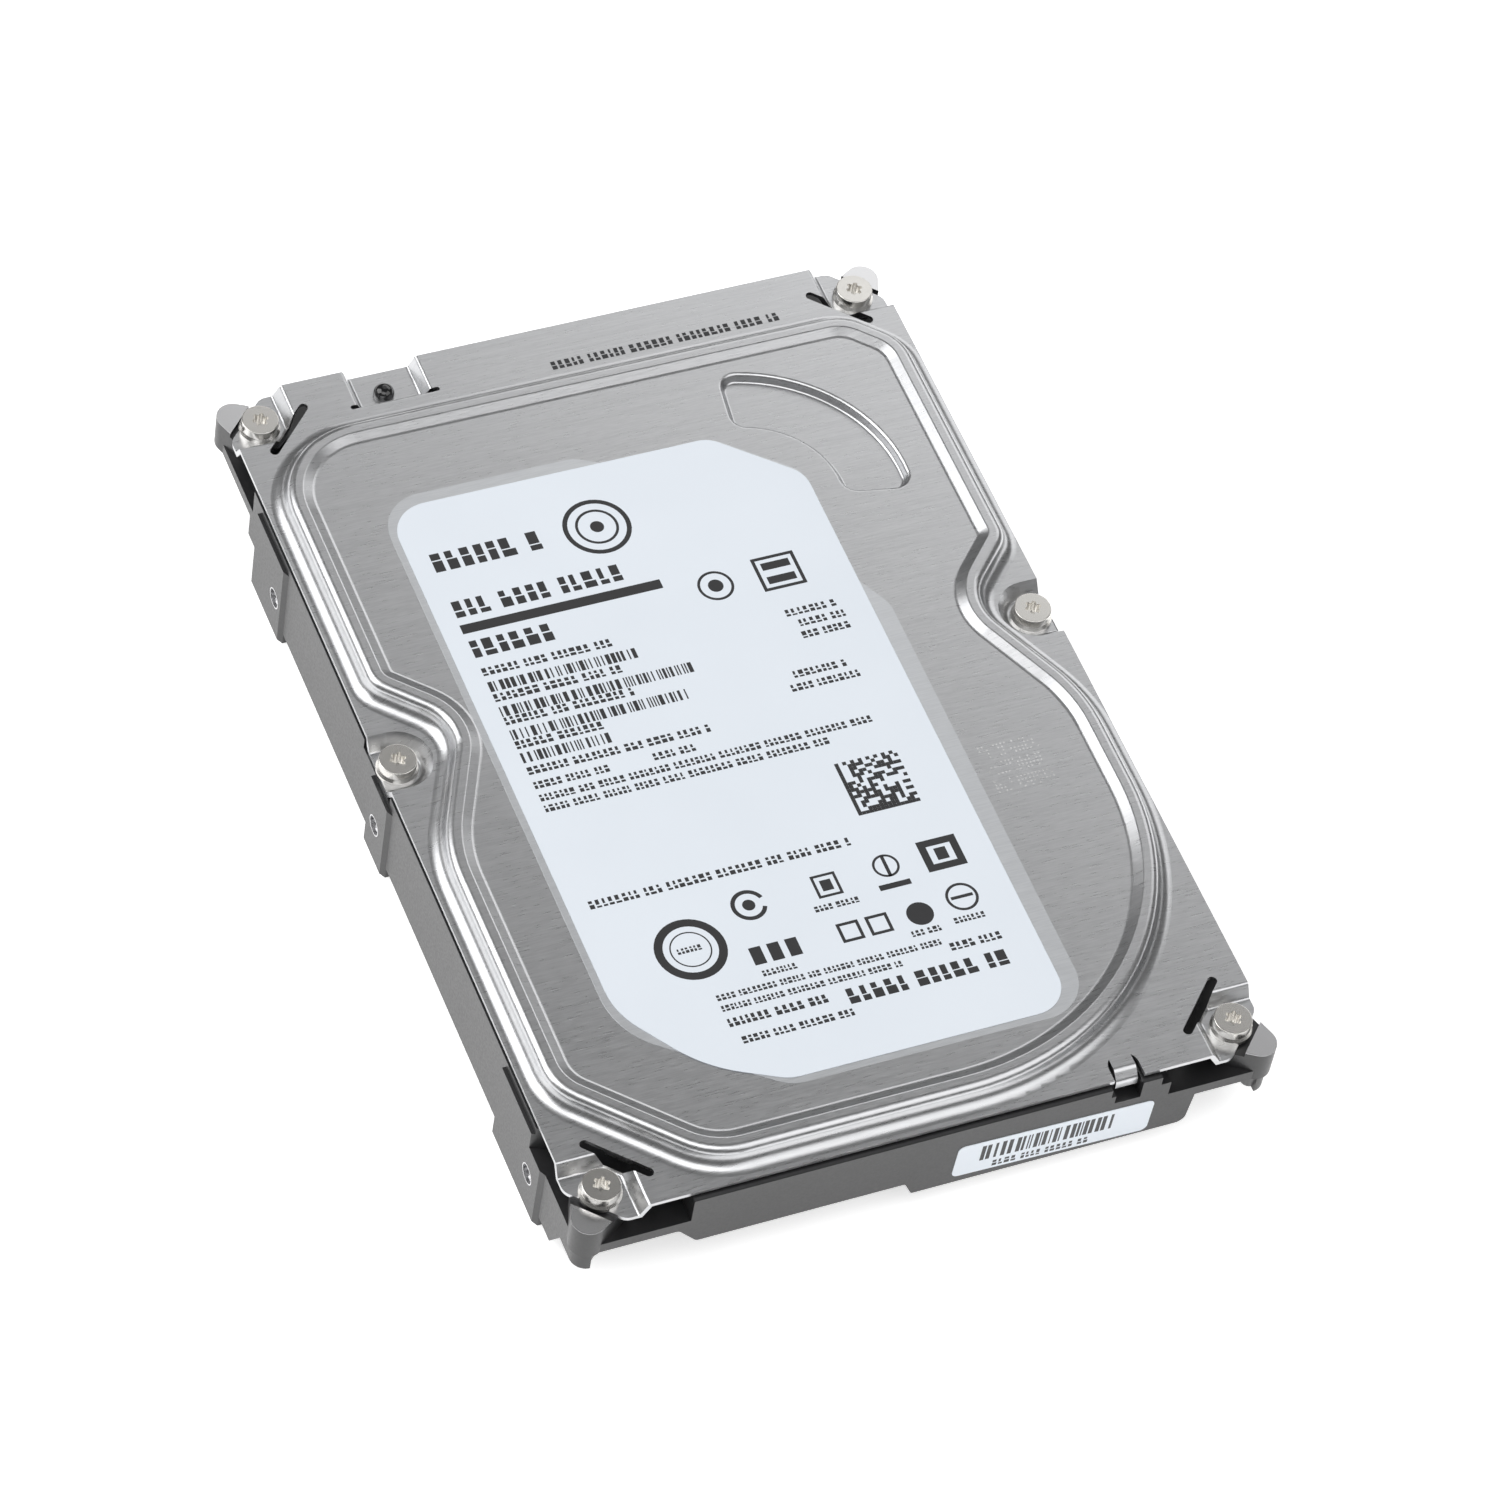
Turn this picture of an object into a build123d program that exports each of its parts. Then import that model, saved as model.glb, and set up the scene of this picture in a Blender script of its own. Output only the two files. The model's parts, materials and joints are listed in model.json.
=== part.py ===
from build123d import *
import os
from math import atan, cos, degrees, radians, sin

# A 3.5-inch single-platter hard disk drive.
# Frame: origin at the bottom centre of the box round the drive, X across the width,
# +Y towards the connector end, +Z up through the cover. Millimetres.

os.makedirs("parts", exist_ok=True)

# ---------------------------------------------------------------- driving dimensions
drive_length = 146.99
drive_width = 101.6
drive_height = 19.98
near_y = -73.5
far_y = near_y + drive_length
pad_x = drive_width / 2

sheet = 0.6
flange_z = 17.2
plateau_z = 19.3
pocket_z = 15.2
gasket_z = 16.2
flange_under = flange_z - sheet
pocket_under = pocket_z - sheet

wall_x = 50.3
wall_y = 73.2
floor_under = 4.0
rail_under = 2.0
rail_in = 43.8
bay_floor = 6.4
disk_floor = 8.0
lip_low, lip_top = 10.0, 11.8
ear_top = 15.35

spindle = (0.0, -20.5)
pivot = (16.2, 33.8)
disk_r = 47.5
disk_bore_r = 12.5
disk_low, disk_top = 12.0, 13.27
disk_mid = (disk_low + disk_top) / 2
disk_pocket_r = 48.1

parked_angle = 199.8
coil_angle = parked_angle - 180
head_reach = 55.5
tab_reach = 59.6

corner_screws = [(-45.6, -67.7), (45.6, -67.7), (-45.6, 67.9), (45.6, 67.9)]
side_screws = [(-47.4, 5.5), (47.4, 5.5)]
side_hole_ys = [-56.6, 3.39, 45.0]
side_hole_z = 6.35
bottom_hole_x = 47.625
bottom_hole_ys = [-43.98, -12.23, 32.22]
thread_r = 1.42

board_low, board_top = 1.2, 2.2
board_screws_at = [(-39.5, 68.5), (-39.5, 26.5), (-5.5, 68.5), (0, 26.5), (39.5, 26.5), (40, 59)]
standoff_r = 2.2
connector_x = 20.68
bulkhead_at = (-23, 46.5)

spindle_plane = Plane(origin=(spindle[0], spindle[1], 0))
pivot_plane = Plane(origin=(pivot[0], pivot[1], 0))
arm_plane = Plane(
    origin=(pivot[0], pivot[1], 0),
    x_dir=(cos(radians(coil_angle)), sin(radians(coil_angle)), 0),
    z_dir=(0, 0, 1),
)


def polar(radius, angle):
    """The point at a radius and an angle in degrees from the local origin."""
    return (radius * cos(radians(angle)), radius * sin(radians(angle)))


def fan(inner, outer, low, high):
    """Adds the edges of a fan-shaped region between two radii and two angles, in degrees."""
    middle = (low + high) / 2
    ThreePointArc(polar(inner, low), polar(inner, middle), polar(inner, high))
    ThreePointArc(polar(outer, low), polar(outer, middle), polar(outer, high))
    Line(polar(inner, low), polar(outer, low))
    Line(polar(inner, high), polar(outer, high))


# ---------------------------------------------------------------- shared outlines
# Foot of the pressed bead in the cover. It dodges inwards round both side screws.
bead_left, bead_right = -47.9, 48.3
bead_near, bead_far = -70.0, 62.6
bead_corners = [
    ((bead_left, bead_far), 13.5),
    ((bead_left, 16.9), 5),
    ((bead_left + 9.3, 7.6), 6.8),
    ((bead_left, -11.6), 25),
    ((bead_left, -53.1), 9),
    ((-31, bead_near), 12),
    ((bead_right, bead_near), 42),
    ((bead_right, -11.6), 25),
    ((bead_right - 9.3, 7.6), 6.8),
    ((bead_right, 16.9), 5),
    ((bead_right, bead_far - 7), 8),
    ((bead_right - 7, bead_far), 8),
]


def bead_outline(grow):
    """A sketch of the bead's foot line, grown by an amount or shrunk by a negative one."""
    with BuildSketch() as outline:
        with BuildLine():
            FilletPolyline(
                [corner for corner, _ in bead_corners],
                radius=[radius for _, radius in bead_corners],
                close=True,
            )
        make_face()
        if grow:
            offset(amount=grow)
    return outline.sketch


# ---------------------------------------------------------------- cover
bead_width, bead_slope = 2.6, 1.5
bead_lean = 12
foot_r, crest_outer_r, crest_inner_r, plateau_rim_r = 2.2, 1.2, 0.5, 1.0
pocket_rim_r, pocket_floor_r = 0.5, 0.5
recess_depth = 1.3
corner_wall_x, corner_wall_near, corner_wall_far = 40.7, -62.8, 63.7
screw_pocket_r = 4.9
vent_left, vent_right, vent_near = -31.4, -20.4, 66.4
near_edge, far_edge, side_edge = -72.4, 73.3, 50.1
corner_cut = 6.4
slot_size = (10.6, 1.35)
screw_clearance_r = 1.25
tab_x, tab_width = 28.25, 3.2


def outward(way):
    """The alignment of a shape that grows away from the middle, to the - or + side."""
    return Align.MIN if way > 0 else Align.MAX


def sink(top, floor, run):
    """Cuts the pending sketch down from top to floor with walls that lean in by run."""
    extrude(amount=floor - top, taper=degrees(atan(run / (top - floor))), mode=Mode.SUBTRACT)


def level_faces(shape, height):
    """The horizontal faces of a shape at one height, the largest first."""
    flat = shape.faces().filter_by(Plane.XY)
    return flat.filter_by_position(Axis.Z, height - 0.01, height + 0.01).sort_by(SortBy.AREA)[::-1]


def inner_rim(face, rank):
    """The edges of one inner wire of a face, the longest wire being rank 0."""
    return sorted(face.inner_wires(), key=lambda wire: -wire.length)[rank].edges()


pocket_chamfer = 2.6


def pressed_form(depth, rounded):
    """The solid under one face of the pressed sheet, depth below the cover's top face."""
    grow = depth * 0.8
    base = 13.0 - depth
    flange, crest = flange_z - depth, drive_height - depth
    plateau, floor = plateau_z - depth, pocket_z - depth
    with BuildPart() as form:
        with BuildSketch(Plane.XY.offset(base)):
            Rectangle(120, 170)
        extrude(amount=flange - base)
        for side in (-1, 1):
            for wall, way in ((corner_wall_near, -1), (corner_wall_far, 1)):
                with BuildSketch(Plane.XY.offset(flange)):
                    with Locations((side * (corner_wall_x - grow), wall - way * grow)):
                        Rectangle(20, 20, align=(outward(side), outward(way)))
                    chamfer(vertices().sort_by_distance((0, 0))[0], pocket_chamfer)
                sink(flange, floor, 1.2)
            with BuildSketch(Plane.XY.offset(flange)):
                with Locations((side * side_screws[1][0], side_screws[1][1])):
                    Circle(screw_pocket_r + grow)
                    Rectangle(12, 2 * (screw_pocket_r + grow), align=(outward(side), Align.CENTER))
            sink(flange, floor, 1.5)
        with BuildSketch(Plane.XY.offset(flange)):
            with Locations((vent_left - grow, vent_near - grow)):
                Rectangle(vent_right - vent_left + 2 * grow, 20, align=(Align.MIN, Align.MIN))
        sink(flange, floor, 1.0)
        with BuildSketch(Plane.XY.offset(flange)):
            add(bead_outline(-grow))
        extrude(amount=crest - flange, taper=bead_lean)
        with BuildSketch(Plane.XY.offset(crest)):
            add(bead_outline(-bead_width + grow / 2))
        sink(crest, plateau, bead_slope)
        with BuildSketch(pivot_plane.offset(plateau)):
            with BuildLine():
                fan(13.0 - grow / 2, 22.8 + grow / 2, -11, 82)
            make_face()
            fillet(vertices(), 2.4)
        extrude(amount=-recess_depth, taper=20, mode=Mode.SUBTRACT)
        if rounded:
            fillet(inner_rim(level_faces(form, flange)[0], 0), foot_r)
            fillet(level_faces(form, crest)[0].outer_wire().edges(), crest_outer_r)
            fillet(inner_rim(level_faces(form, crest)[0], 0), crest_inner_r)
            fillet(level_faces(form, plateau)[0].outer_wire().edges(), plateau_rim_r)
            fillet(inner_rim(level_faces(form, plateau)[0], 0), 0.6)
            fillet(level_faces(form, plateau - recess_depth)[0].outer_wire().edges(), 0.5)
            near_middle = lambda edge: abs(edge.center().X) < 59 and abs(edge.center().Y) < 84
            pocket_rims = level_faces(form, flange)[0].outer_wire().edges().filter_by(near_middle)
            fillet(pocket_rims, pocket_rim_r)
            pocket_floors = level_faces(form, floor).filter_by(lambda face: face.area < 1000)
            fillet(pocket_floors.edges().filter_by(near_middle), pocket_floor_r)
    return form.part


cover_top = pressed_form(0, True)
cover_underside = pressed_form(sheet, False)
tab_bend = [(-68.0, 17.2), (-70.6, 17.2), (-71.7, 16.1), (-71.7, 15.0)]

with BuildPart() as top_cover:
    add(cover_top)
    add(cover_underside, mode=Mode.SUBTRACT)
    with BuildSketch(Plane.XY.offset(12)):
        with BuildLine():
            Polyline(
                (-side_edge, near_edge + corner_cut),
                (-side_edge + corner_cut, near_edge),
                (side_edge - corner_cut, near_edge),
                (side_edge, near_edge + corner_cut),
                (side_edge, far_edge - corner_cut),
                (side_edge - corner_cut, far_edge),
                (-side_edge + corner_cut, far_edge),
                (-side_edge, far_edge - corner_cut),
                close=True,
            )
        make_face()
        fillet(vertices(), 2.0)
    extrude(amount=10, mode=Mode.INTERSECT)
    with BuildSketch(Plane.XY.offset(12)):
        for side in (-1, 1):
            for middle_y, way in ((-64.35, -1), (65.25, 1)):
                with Locations(Location((side * 42.2, middle_y), -45 * side * way)):
                    SlotOverall(*slot_size)
        with Locations((-31.7, vent_near + 0.2)):
            SlotOverall(1.6, 0.7)
        with Locations((-20.6, vent_near + 0.2)):
            SlotOverall(3.0, 0.7)
        with Locations(*corner_screws, *side_screws):
            Circle(screw_clearance_r)
        with Locations((tab_x, near_edge)):
            SlotOverall(8.4, tab_width + 1.2, rotation=90)
        with Locations((-26.4, 69.3)):
            Circle(1.0)
    extrude(amount=10, mode=Mode.SUBTRACT)
    with BuildSketch(Plane.YZ.offset(tab_x - tab_width / 2)):
        with BuildLine() as tab_line:
            FilletPolyline(*[(y, z - sheet / 2) for y, z in tab_bend], radius=0.7)
        trace(tab_line.line, sheet)
    extrude(amount=tab_width)
top_cover.part.label = "top_cover"
export_step(top_cover.part, "parts/top_cover.step")

with BuildPart() as cover_gasket:
    with BuildSketch(Plane.XY.offset(gasket_z)):
        add(bead_outline(1.7))
        add(bead_outline(0.6), mode=Mode.SUBTRACT)
        with Locations(spindle):
            Circle(disk_pocket_r + 0.2, mode=Mode.SUBTRACT)
        with Locations(*side_screws):
            Circle(screw_pocket_r + 0.7, mode=Mode.SUBTRACT)
    extrude(amount=flange_under - gasket_z)
cover_gasket.part.label = "cover_gasket"
export_step(cover_gasket.part, "parts/cover_gasket.step")

head_r, head_flange_r, head_height = 2.65, 2.95, 2.2
head_edge_r = 0.15
shank_r, shank_end = 1.0, 9.6


def torx_socket(lobe_reach):
    """Adds the outline of a six-lobed driver socket to the open sketch."""
    Circle(lobe_reach * 0.72)
    with PolarLocations(lobe_reach * 0.76, 6):
        Circle(lobe_reach * 0.26)


with BuildPart() as cover_screws:
    with BuildSketch(Plane.XZ):
        with BuildLine():
            Polyline(
                (0, shank_end),
                (shank_r, shank_end),
                (shank_r, pocket_z),
                (head_flange_r, pocket_z),
                (head_flange_r, pocket_z + 0.5),
                (head_r, pocket_z + 0.9),
                (head_r, pocket_z + head_height),
                (0, pocket_z + head_height),
                close=True,
            )
        make_face()
    revolve(axis=Axis.Z)
    fillet(cover_screws.faces().sort_by(Axis.Z)[-1].edges(), head_edge_r)
    with BuildSketch(Plane.XY.offset(pocket_z + head_height)):
        torx_socket(1.2)
    extrude(amount=-1.2, mode=Mode.SUBTRACT)
one_cover_screw = cover_screws.part
with BuildPart() as cover_screws:
    with Locations(*corner_screws, *side_screws):
        add(one_cover_screw)
cover_screws.part.label = "cover_screws"
export_step(cover_screws.part, "parts/cover_screws.step")

with BuildPart() as vent_plug:
    with Locations((-26.4, 69.3, pocket_under)):
        Cylinder(0.98, sheet, align=(Align.CENTER, Align.CENTER, Align.MIN))
    with Locations((-26.4, 69.3, pocket_z)):
        Cylinder(1.5, 1.5, align=(Align.CENTER, Align.CENTER, Align.MIN))
    fillet(vent_plug.faces().sort_by(Axis.Z)[-1].edges(), 1.2)
vent_plug.part.label = "vent_plug"
export_step(vent_plug.part, "parts/vent_plug.step")

# ---------------------------------------------------------------- labels
film_thickness, label_thickness = 0.05, 0.08
film_corners = [
    ((-35.9, 47.5), 6.5),
    ((-6.0, 47.5), 6),
    ((-1.5, 44.9), 2),
    ((14.0, 45.5), 4),
    ((24.3, 36.5), 3),
    ((24.6, 15.5), 3),
    ((27.3, 10.5), 5),
    ((27.3, -61.6), 6.5),
    ((-16.5, -61.6), 6),
    ((-35.9, -47.0), 12),
]
label_corners = [
    ((-34.9, 45.6), 5.5),
    ((13.6, 45.6), 4),
    ((24.6, 35.8), 4.5),
    ((24.6, -60.6), 5),
    ((-16.3, -60.6), 6),
    ((-26.5, -55.6), 20),
    ((-34.9, -44.0), 12),
]

with BuildPart() as label_film:
    with BuildSketch(Plane.XY.offset(plateau_z)):
        with BuildLine():
            FilletPolyline([c for c, _ in film_corners], radius=[r for _, r in film_corners], close=True)
        make_face()
    extrude(amount=film_thickness)
label_film.part.label = "label_film"
export_step(label_film.part, "parts/label_film.step")

with BuildPart() as top_label:
    with BuildSketch(Plane.XY.offset(plateau_z + film_thickness)):
        with BuildLine():
            FilletPolyline([c for c, _ in label_corners], radius=[r for _, r in label_corners], close=True)
        make_face()
    extrude(amount=label_thickness)
top_label.part.label = "top_label"
export_step(top_label.part, "parts/top_label.step")

front_label_plane = Plane(origin=(18.15, -wall_y, 8.35), x_dir=(1, 0, -0.031), z_dir=(0, -1, 0))
with BuildPart() as front_label:
    with BuildSketch(front_label_plane):
        RectangleRounded(28.9, 6.8, 1.0)
    extrude(amount=label_thickness)
front_label.part.label = "front_label"
export_step(front_label.part, "parts/front_label.step")

# ---------------------------------------------------------------- base casting
pad_spans = [(-60.0, -45.0, 14.9), (-0.2, 6.2, 14.0), (42.6, 53.6, 14.9)]
pad_inner_x = 44.5
pad_lead = 0.9
recess_near = [(34.5, 76), (34.5, 70), (46.5, 58), (52, 55.5), (52, 76)]
recess_far = [(35, 76), (35, 70.8), (48, 57.8), (52, 55.5), (52, 76)]
post_at, post_r, boss_r = (48.4, 71.1), 2.4, 3.9
ear_edge = 118.0
motor_hole_r, motor_recess_r, motor_seat = 13.5, 15.8, 5.6
bay_corners = [
    ((-44, 61.2), 8),
    ((44, 61.2), 9),
    ((44, 19.5), 3),
    ((38, 12), 3),
    ((30, 4), 2),
    ((-30, 2), 2),
    ((-39.7, 9.3), 1),
    ((-44, 18.5), 3),
]
bulkhead_hole = (12, 4)

with BuildPart() as base_casting:
    with BuildSketch(Plane.XY.offset(floor_under)):
        RectangleRounded(2 * wall_x, 2 * wall_y, 2.2)
    extrude(amount=gasket_z - floor_under)
    for side in (-1, 1):
        # side rails and the three proud mounting pads
        with BuildSketch(Plane.XY.offset(rail_under)):
            with Locations((side * rail_in, -wall_y + 2.2)):
                Rectangle(wall_x - rail_in, 57.4 + wall_y - 2.2, align=(outward(side), Align.MIN))
        extrude(amount=floor_under - rail_under)
        for start, end, top in pad_spans:
            with BuildSketch(Plane.XY):
                with BuildLine():
                    Polyline(
                        (side * pad_inner_x, start - pad_lead),
                        (side * wall_x, start - pad_lead),
                        (side * pad_x, start),
                        (side * pad_x, end),
                        (side * pad_inner_x, end),
                        close=True,
                    )
                make_face()
            extrude(amount=top)
        with BuildSketch(Plane.XY):
            with Locations(*[(side * bottom_hole_x, y) for y in bottom_hole_ys]):
                Circle(3.2)
            with Locations((side * 49.5, 0)):
                Rectangle(20, 200, align=(outward(side), Align.CENTER), mode=Mode.SUBTRACT)
        extrude(amount=floor_under)
        # stepped undersides of the rails at both ends
        with BuildSketch(Plane.YZ.offset(side * rail_in)):
            with BuildLine():
                Polyline(
                    (-76, -1), (-76, 6.7), (-67.5, 6.7), (-64.8, rail_under), (-64.8, -1), close=True
                )
            make_face()
            with BuildLine():
                Polyline(
                    (53.6, -1), (53.6, 6), (57.4, 6), (57.4, lip_low), (76, lip_low), (76, -1), close=True
                )
            make_face()
        extrude(amount=side * 8, mode=Mode.SUBTRACT)
    # underside of the near end
    with BuildSketch(Plane.XZ.offset(wall_y - 6.7)):
        with BuildLine():
            FilletPolyline(
                (-48.2, -1),
                (-48.2, lip_low),
                (-36, lip_low),
                (-33.2, 6.6),
                (-3.2, 6.6),
                (-2, floor_under),
                (38.2, floor_under),
                (38.8, lip_low),
                (48.2, lip_low),
                (48.2, -1),
                radius=[0, 0, 1, 1, 0.5, 0.5, 1.4, 0, 0, 0],
                close=True,
            )
        make_face()
    extrude(amount=12, mode=Mode.SUBTRACT)
    # hollow corners under the cover's corner pockets, each with a screw boss and an ear
    for side in (-1, 1):
        for points, way in ((recess_near, -1), (recess_far, 1)):
            with BuildSketch(Plane.XY.offset(lip_top)):
                with BuildLine():
                    Polyline([(side * x, way * y) for x, y in points], close=True)
                make_face()
            extrude(amount=6, mode=Mode.SUBTRACT)
            boss_at = (side * 45.6, -67.7 if way < 0 else 67.9)
            with BuildSketch(Plane.XY.offset(lip_low)):
                with Locations(boss_at):
                    Circle(boss_r)
                with Locations((side * post_at[0], way * post_at[1])):
                    Circle(post_r)
                make_hull()
            extrude(amount=pocket_under - lip_low)
            with BuildSketch(Plane.XY.offset(pocket_under)):
                with Locations(boss_at):
                    Circle(boss_r)
                with Locations((side * post_at[0], way * post_at[1])):
                    Circle(post_r)
                make_hull()
                with BuildLine():
                    Polyline((0, 0), (side * ear_edge, 0), (0, way * ear_edge), close=True)
                make_face(mode=Mode.SUBTRACT)
            extrude(amount=ear_top - pocket_under)
            with BuildSketch(Plane.XY.offset(lip_low)):
                with Locations(boss_at):
                    Circle(2.6)
            extrude(amount=-2)
        with BuildSketch(Plane.XY.offset(lip_low)):
            with Locations((side * post_at[0], -post_at[1])):
                Circle(post_r - 0.3)
        extrude(amount=6.7 - lip_low, taper=14)
    # room for the cover's side pockets and for the bent tab
    with BuildSketch(Plane.XY.offset(pocket_under)):
        for side in (-1, 1):
            with Locations((side * side_screws[1][0], side_screws[1][1])):
                Circle(screw_pocket_r + 0.3)
                Rectangle(12, 2 * screw_pocket_r + 0.6, align=(outward(side), Align.CENTER))
        with Locations((tab_x - 0.4, -wall_y)):
            Rectangle(4.4, 5.0)
        with Locations((35.5, -wall_y)):
            Rectangle(5, 3.4)
        with Locations(((vent_left + vent_right) / 2, wall_y)):
            Rectangle(12.4, 14.6)
    extrude(amount=3, mode=Mode.SUBTRACT)
    with BuildSketch(Plane.XY.offset(13.0)):
        with Locations((tab_x, -wall_y)):
            Rectangle(3.8, 4.0)
    extrude(amount=5, mode=Mode.SUBTRACT)
    # sealed hollow: the disk pocket, the actuator bay, the filter pocket and the motor recess
    with BuildSketch(Plane.XY.offset(disk_floor)):
        with Locations(spindle):
            Circle(disk_pocket_r)
    extrude(amount=12, mode=Mode.SUBTRACT)
    with BuildSketch(Plane.XY.offset(bay_floor)):
        with BuildLine():
            FilletPolyline([c for c, _ in bay_corners], radius=[r for _, r in bay_corners], close=True)
        make_face()
    extrude(amount=12, mode=Mode.SUBTRACT)
    with BuildSketch(Plane.XY.offset(9.0)):
        with Locations(Location((-36.3, -56.8), -45)):
            RectangleRounded(20, 7.4, 1.5)
    extrude(amount=12, mode=Mode.SUBTRACT)
    with BuildSketch(spindle_plane.offset(motor_seat)):
        Circle(motor_recess_r)
    extrude(amount=8, mode=Mode.SUBTRACT)
    with BuildSketch(Plane.XY):
        with Locations(spindle):
            Circle(motor_hole_r)
        with Locations(bulkhead_at):
            Rectangle(*bulkhead_hole)
    extrude(amount=12, mode=Mode.SUBTRACT)
    # lightening ring with radial ribs round the motor, on the underside
    with BuildSketch(spindle_plane.offset(floor_under)):
        Circle(41)
        Circle(19, mode=Mode.SUBTRACT)
        with PolarLocations(30, 8):
            Rectangle(26, 2.4, mode=Mode.SUBTRACT)
        with Locations((0, 30)):
            Rectangle(8, 30, mode=Mode.SUBTRACT)
    extrude(amount=1.6, mode=Mode.SUBTRACT)
    # room for the connector, and standoffs for the circuit board
    with BuildSketch(Plane.XY):
        with Locations((connector_x, 68.5)):
            Rectangle(43, 12.4)
    extrude(amount=bay_floor, mode=Mode.SUBTRACT)
    with BuildSketch(Plane.XY.offset(board_top)):
        with Locations(*board_screws_at):
            Circle(standoff_r)
    extrude(amount=floor_under - board_top)
    # tapped holes
    with BuildSketch(Plane.XY):
        with Locations(*board_screws_at):
            Circle(1.0)
    extrude(amount=5.6, mode=Mode.SUBTRACT)
    with BuildSketch(Plane.XY.offset(9.4)):
        with Locations(*corner_screws, *side_screws):
            Circle(1.1)
    extrude(amount=8, mode=Mode.SUBTRACT)
    with BuildSketch(Plane.XY):
        for side in (-1, 1):
            with Locations(*[(side * bottom_hole_x, y) for y in bottom_hole_ys]):
                Circle(thread_r)
    extrude(amount=4.6, mode=Mode.SUBTRACT)
    for side in (-1, 1):
        with BuildSketch(Plane.YZ.offset(side * pad_x)):
            with Locations(*[(y, side_hole_z) for y in side_hole_ys]):
                Circle(thread_r)
        extrude(amount=-side * 5.2, mode=Mode.SUBTRACT)
    # seats for the small parts of the actuator bay
    with BuildSketch(Plane.XY.offset(5.0)):
        with Locations(pivot):
            Circle(1.8)
    extrude(amount=3, mode=Mode.SUBTRACT)
base_casting.part.label = "base_casting"
export_step(base_casting.part, "parts/base_casting.step")

# ---------------------------------------------------------------- circuit board and its parts
def block_group(places, length, width, height, level):
    """A group of equal blocks standing on one level, each at its own place."""
    with BuildPart() as group:
        with BuildSketch(Plane.XY.offset(level)):
            with Locations(*places):
                Rectangle(length, width)
        extrude(amount=height)
    return group


with BuildPart() as circuit_board:
    with BuildSketch(Plane.XY.offset(board_low)):
        with BuildLine():
            FilletPolyline(
                (-42.5, 72.6),
                (connector_x - 21.2, 72.6),
                (connector_x - 21.2, 64.4),
                (42.5, 64.4),
                (42.5, 22.4),
                (-42.5, 22.4),
                radius=1.0,
                close=True,
            )
        make_face()
        with Locations(*board_screws_at):
            Circle(1.15, mode=Mode.SUBTRACT)
    extrude(amount=board_top - board_low)
circuit_board.part.label = "circuit_board"
export_step(circuit_board.part, "parts/circuit_board.step")

with BuildPart() as board_screws:
    with BuildSketch(Plane.XY.offset(0.5)):
        with Locations(*board_screws_at):
            Circle(1.9)
    extrude(amount=board_low - 0.5)
    fillet(board_screws.faces().sort_by(Axis.Z)[: len(board_screws_at)].edges(), 0.2)
    with BuildSketch(Plane.XY.offset(board_low)):
        with Locations(*board_screws_at):
            Circle(0.95)
    extrude(amount=4.2)
    with BuildSketch(Plane.XY.offset(0.5)):
        with Locations(*board_screws_at):
            torx_socket(0.95)
    extrude(amount=0.9, mode=Mode.SUBTRACT)
board_screws.part.label = "board_screws"
export_step(board_screws.part, "parts/board_screws.step")

chip_sizes = {
    "controller_chip": ((6, 46), 14, 14, 1.0),
    "memory_chip": ((25, 51), 11, 8, 0.9),
    "motor_driver_chip": ((24, 36), 9, 9, 0.9),
    "flash_chip": ((-5, 33), 6, 5, 0.8),
}
for chip_name, (chip_at, chip_length, chip_width, chip_height) in chip_sizes.items():
    chip = block_group([chip_at], chip_length, chip_width, chip_height, board_top)
    chip.part.label = chip_name
    export_step(chip.part, f"parts/{chip_name}.step")

passive_places = [(-38 + 2.6 * column, 31 + 2.4 * row) for column in range(9) for row in range(3)]
passive_places += [(14 + 2.4 * column, 30) for column in range(8)]
small_components = block_group(passive_places, 1.6, 0.8, 0.6, board_top)
small_components.part.label = "small_components"
export_step(small_components.part, "parts/small_components.step")

with BuildPart() as board_foam:
    with BuildSketch(Plane.XY.offset(3.2)):
        with Locations((0, 43)):
            Rectangle(80, 36)
        with Locations(*board_screws_at):
            Circle(standoff_r + 0.6, mode=Mode.SUBTRACT)
        with Locations(bulkhead_at):
            Rectangle(15, 7, mode=Mode.SUBTRACT)
    extrude(amount=floor_under - 3.2)
board_foam.part.label = "board_foam"
export_step(board_foam.part, "parts/board_foam.step")

shell_low, shell_high = 1.0, 6.1
tongue_low, tongue_high = 2.9, 4.1
mating_depth = 6.2
with BuildPart() as sata_connector:
    with BuildSketch(Plane.XY.offset(shell_low)):
        with Locations((connector_x, far_y)):
            Rectangle(40, 8.8, align=(Align.CENTER, Align.MAX))
    extrude(amount=shell_high - shell_low)
    with BuildSketch(Plane.XY.offset(board_top)):
        with Locations((connector_x, far_y - 8.8)):
            Rectangle(38, 2.4, align=(Align.CENTER, Align.MAX))
    extrude(amount=1.2)
    with BuildSketch(Plane.XY.offset(shell_low + 0.7)):
        with Locations((connector_x, far_y)):
            Rectangle(34.2, mating_depth, align=(Align.CENTER, Align.MAX))
    extrude(amount=shell_high - shell_low - 1.4, mode=Mode.SUBTRACT)
    with BuildSketch(Plane.XY.offset(tongue_low)):
        with Locations((connector_x - 10.2, far_y - 0.6), (connector_x + 6.5, far_y - 0.6)):
            Rectangle(10.6, mating_depth, align=(Align.CENTER, Align.MAX))
        with Locations((connector_x + 6.5, far_y - 0.6)):
            Rectangle(20.4, mating_depth, align=(Align.CENTER, Align.MAX))
    extrude(amount=tongue_high - tongue_low)
    with BuildSketch(Plane.XY.offset(tongue_high)):
        with Locations((connector_x - 15.0, far_y - 0.6), (connector_x - 3.2, far_y - 0.6)):
            Rectangle(1.0, mating_depth, align=(Align.CENTER, Align.MAX))
    extrude(amount=0.9)
sata_connector.part.label = "sata_connector"
export_step(sata_connector.part, "parts/sata_connector.step")

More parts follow.
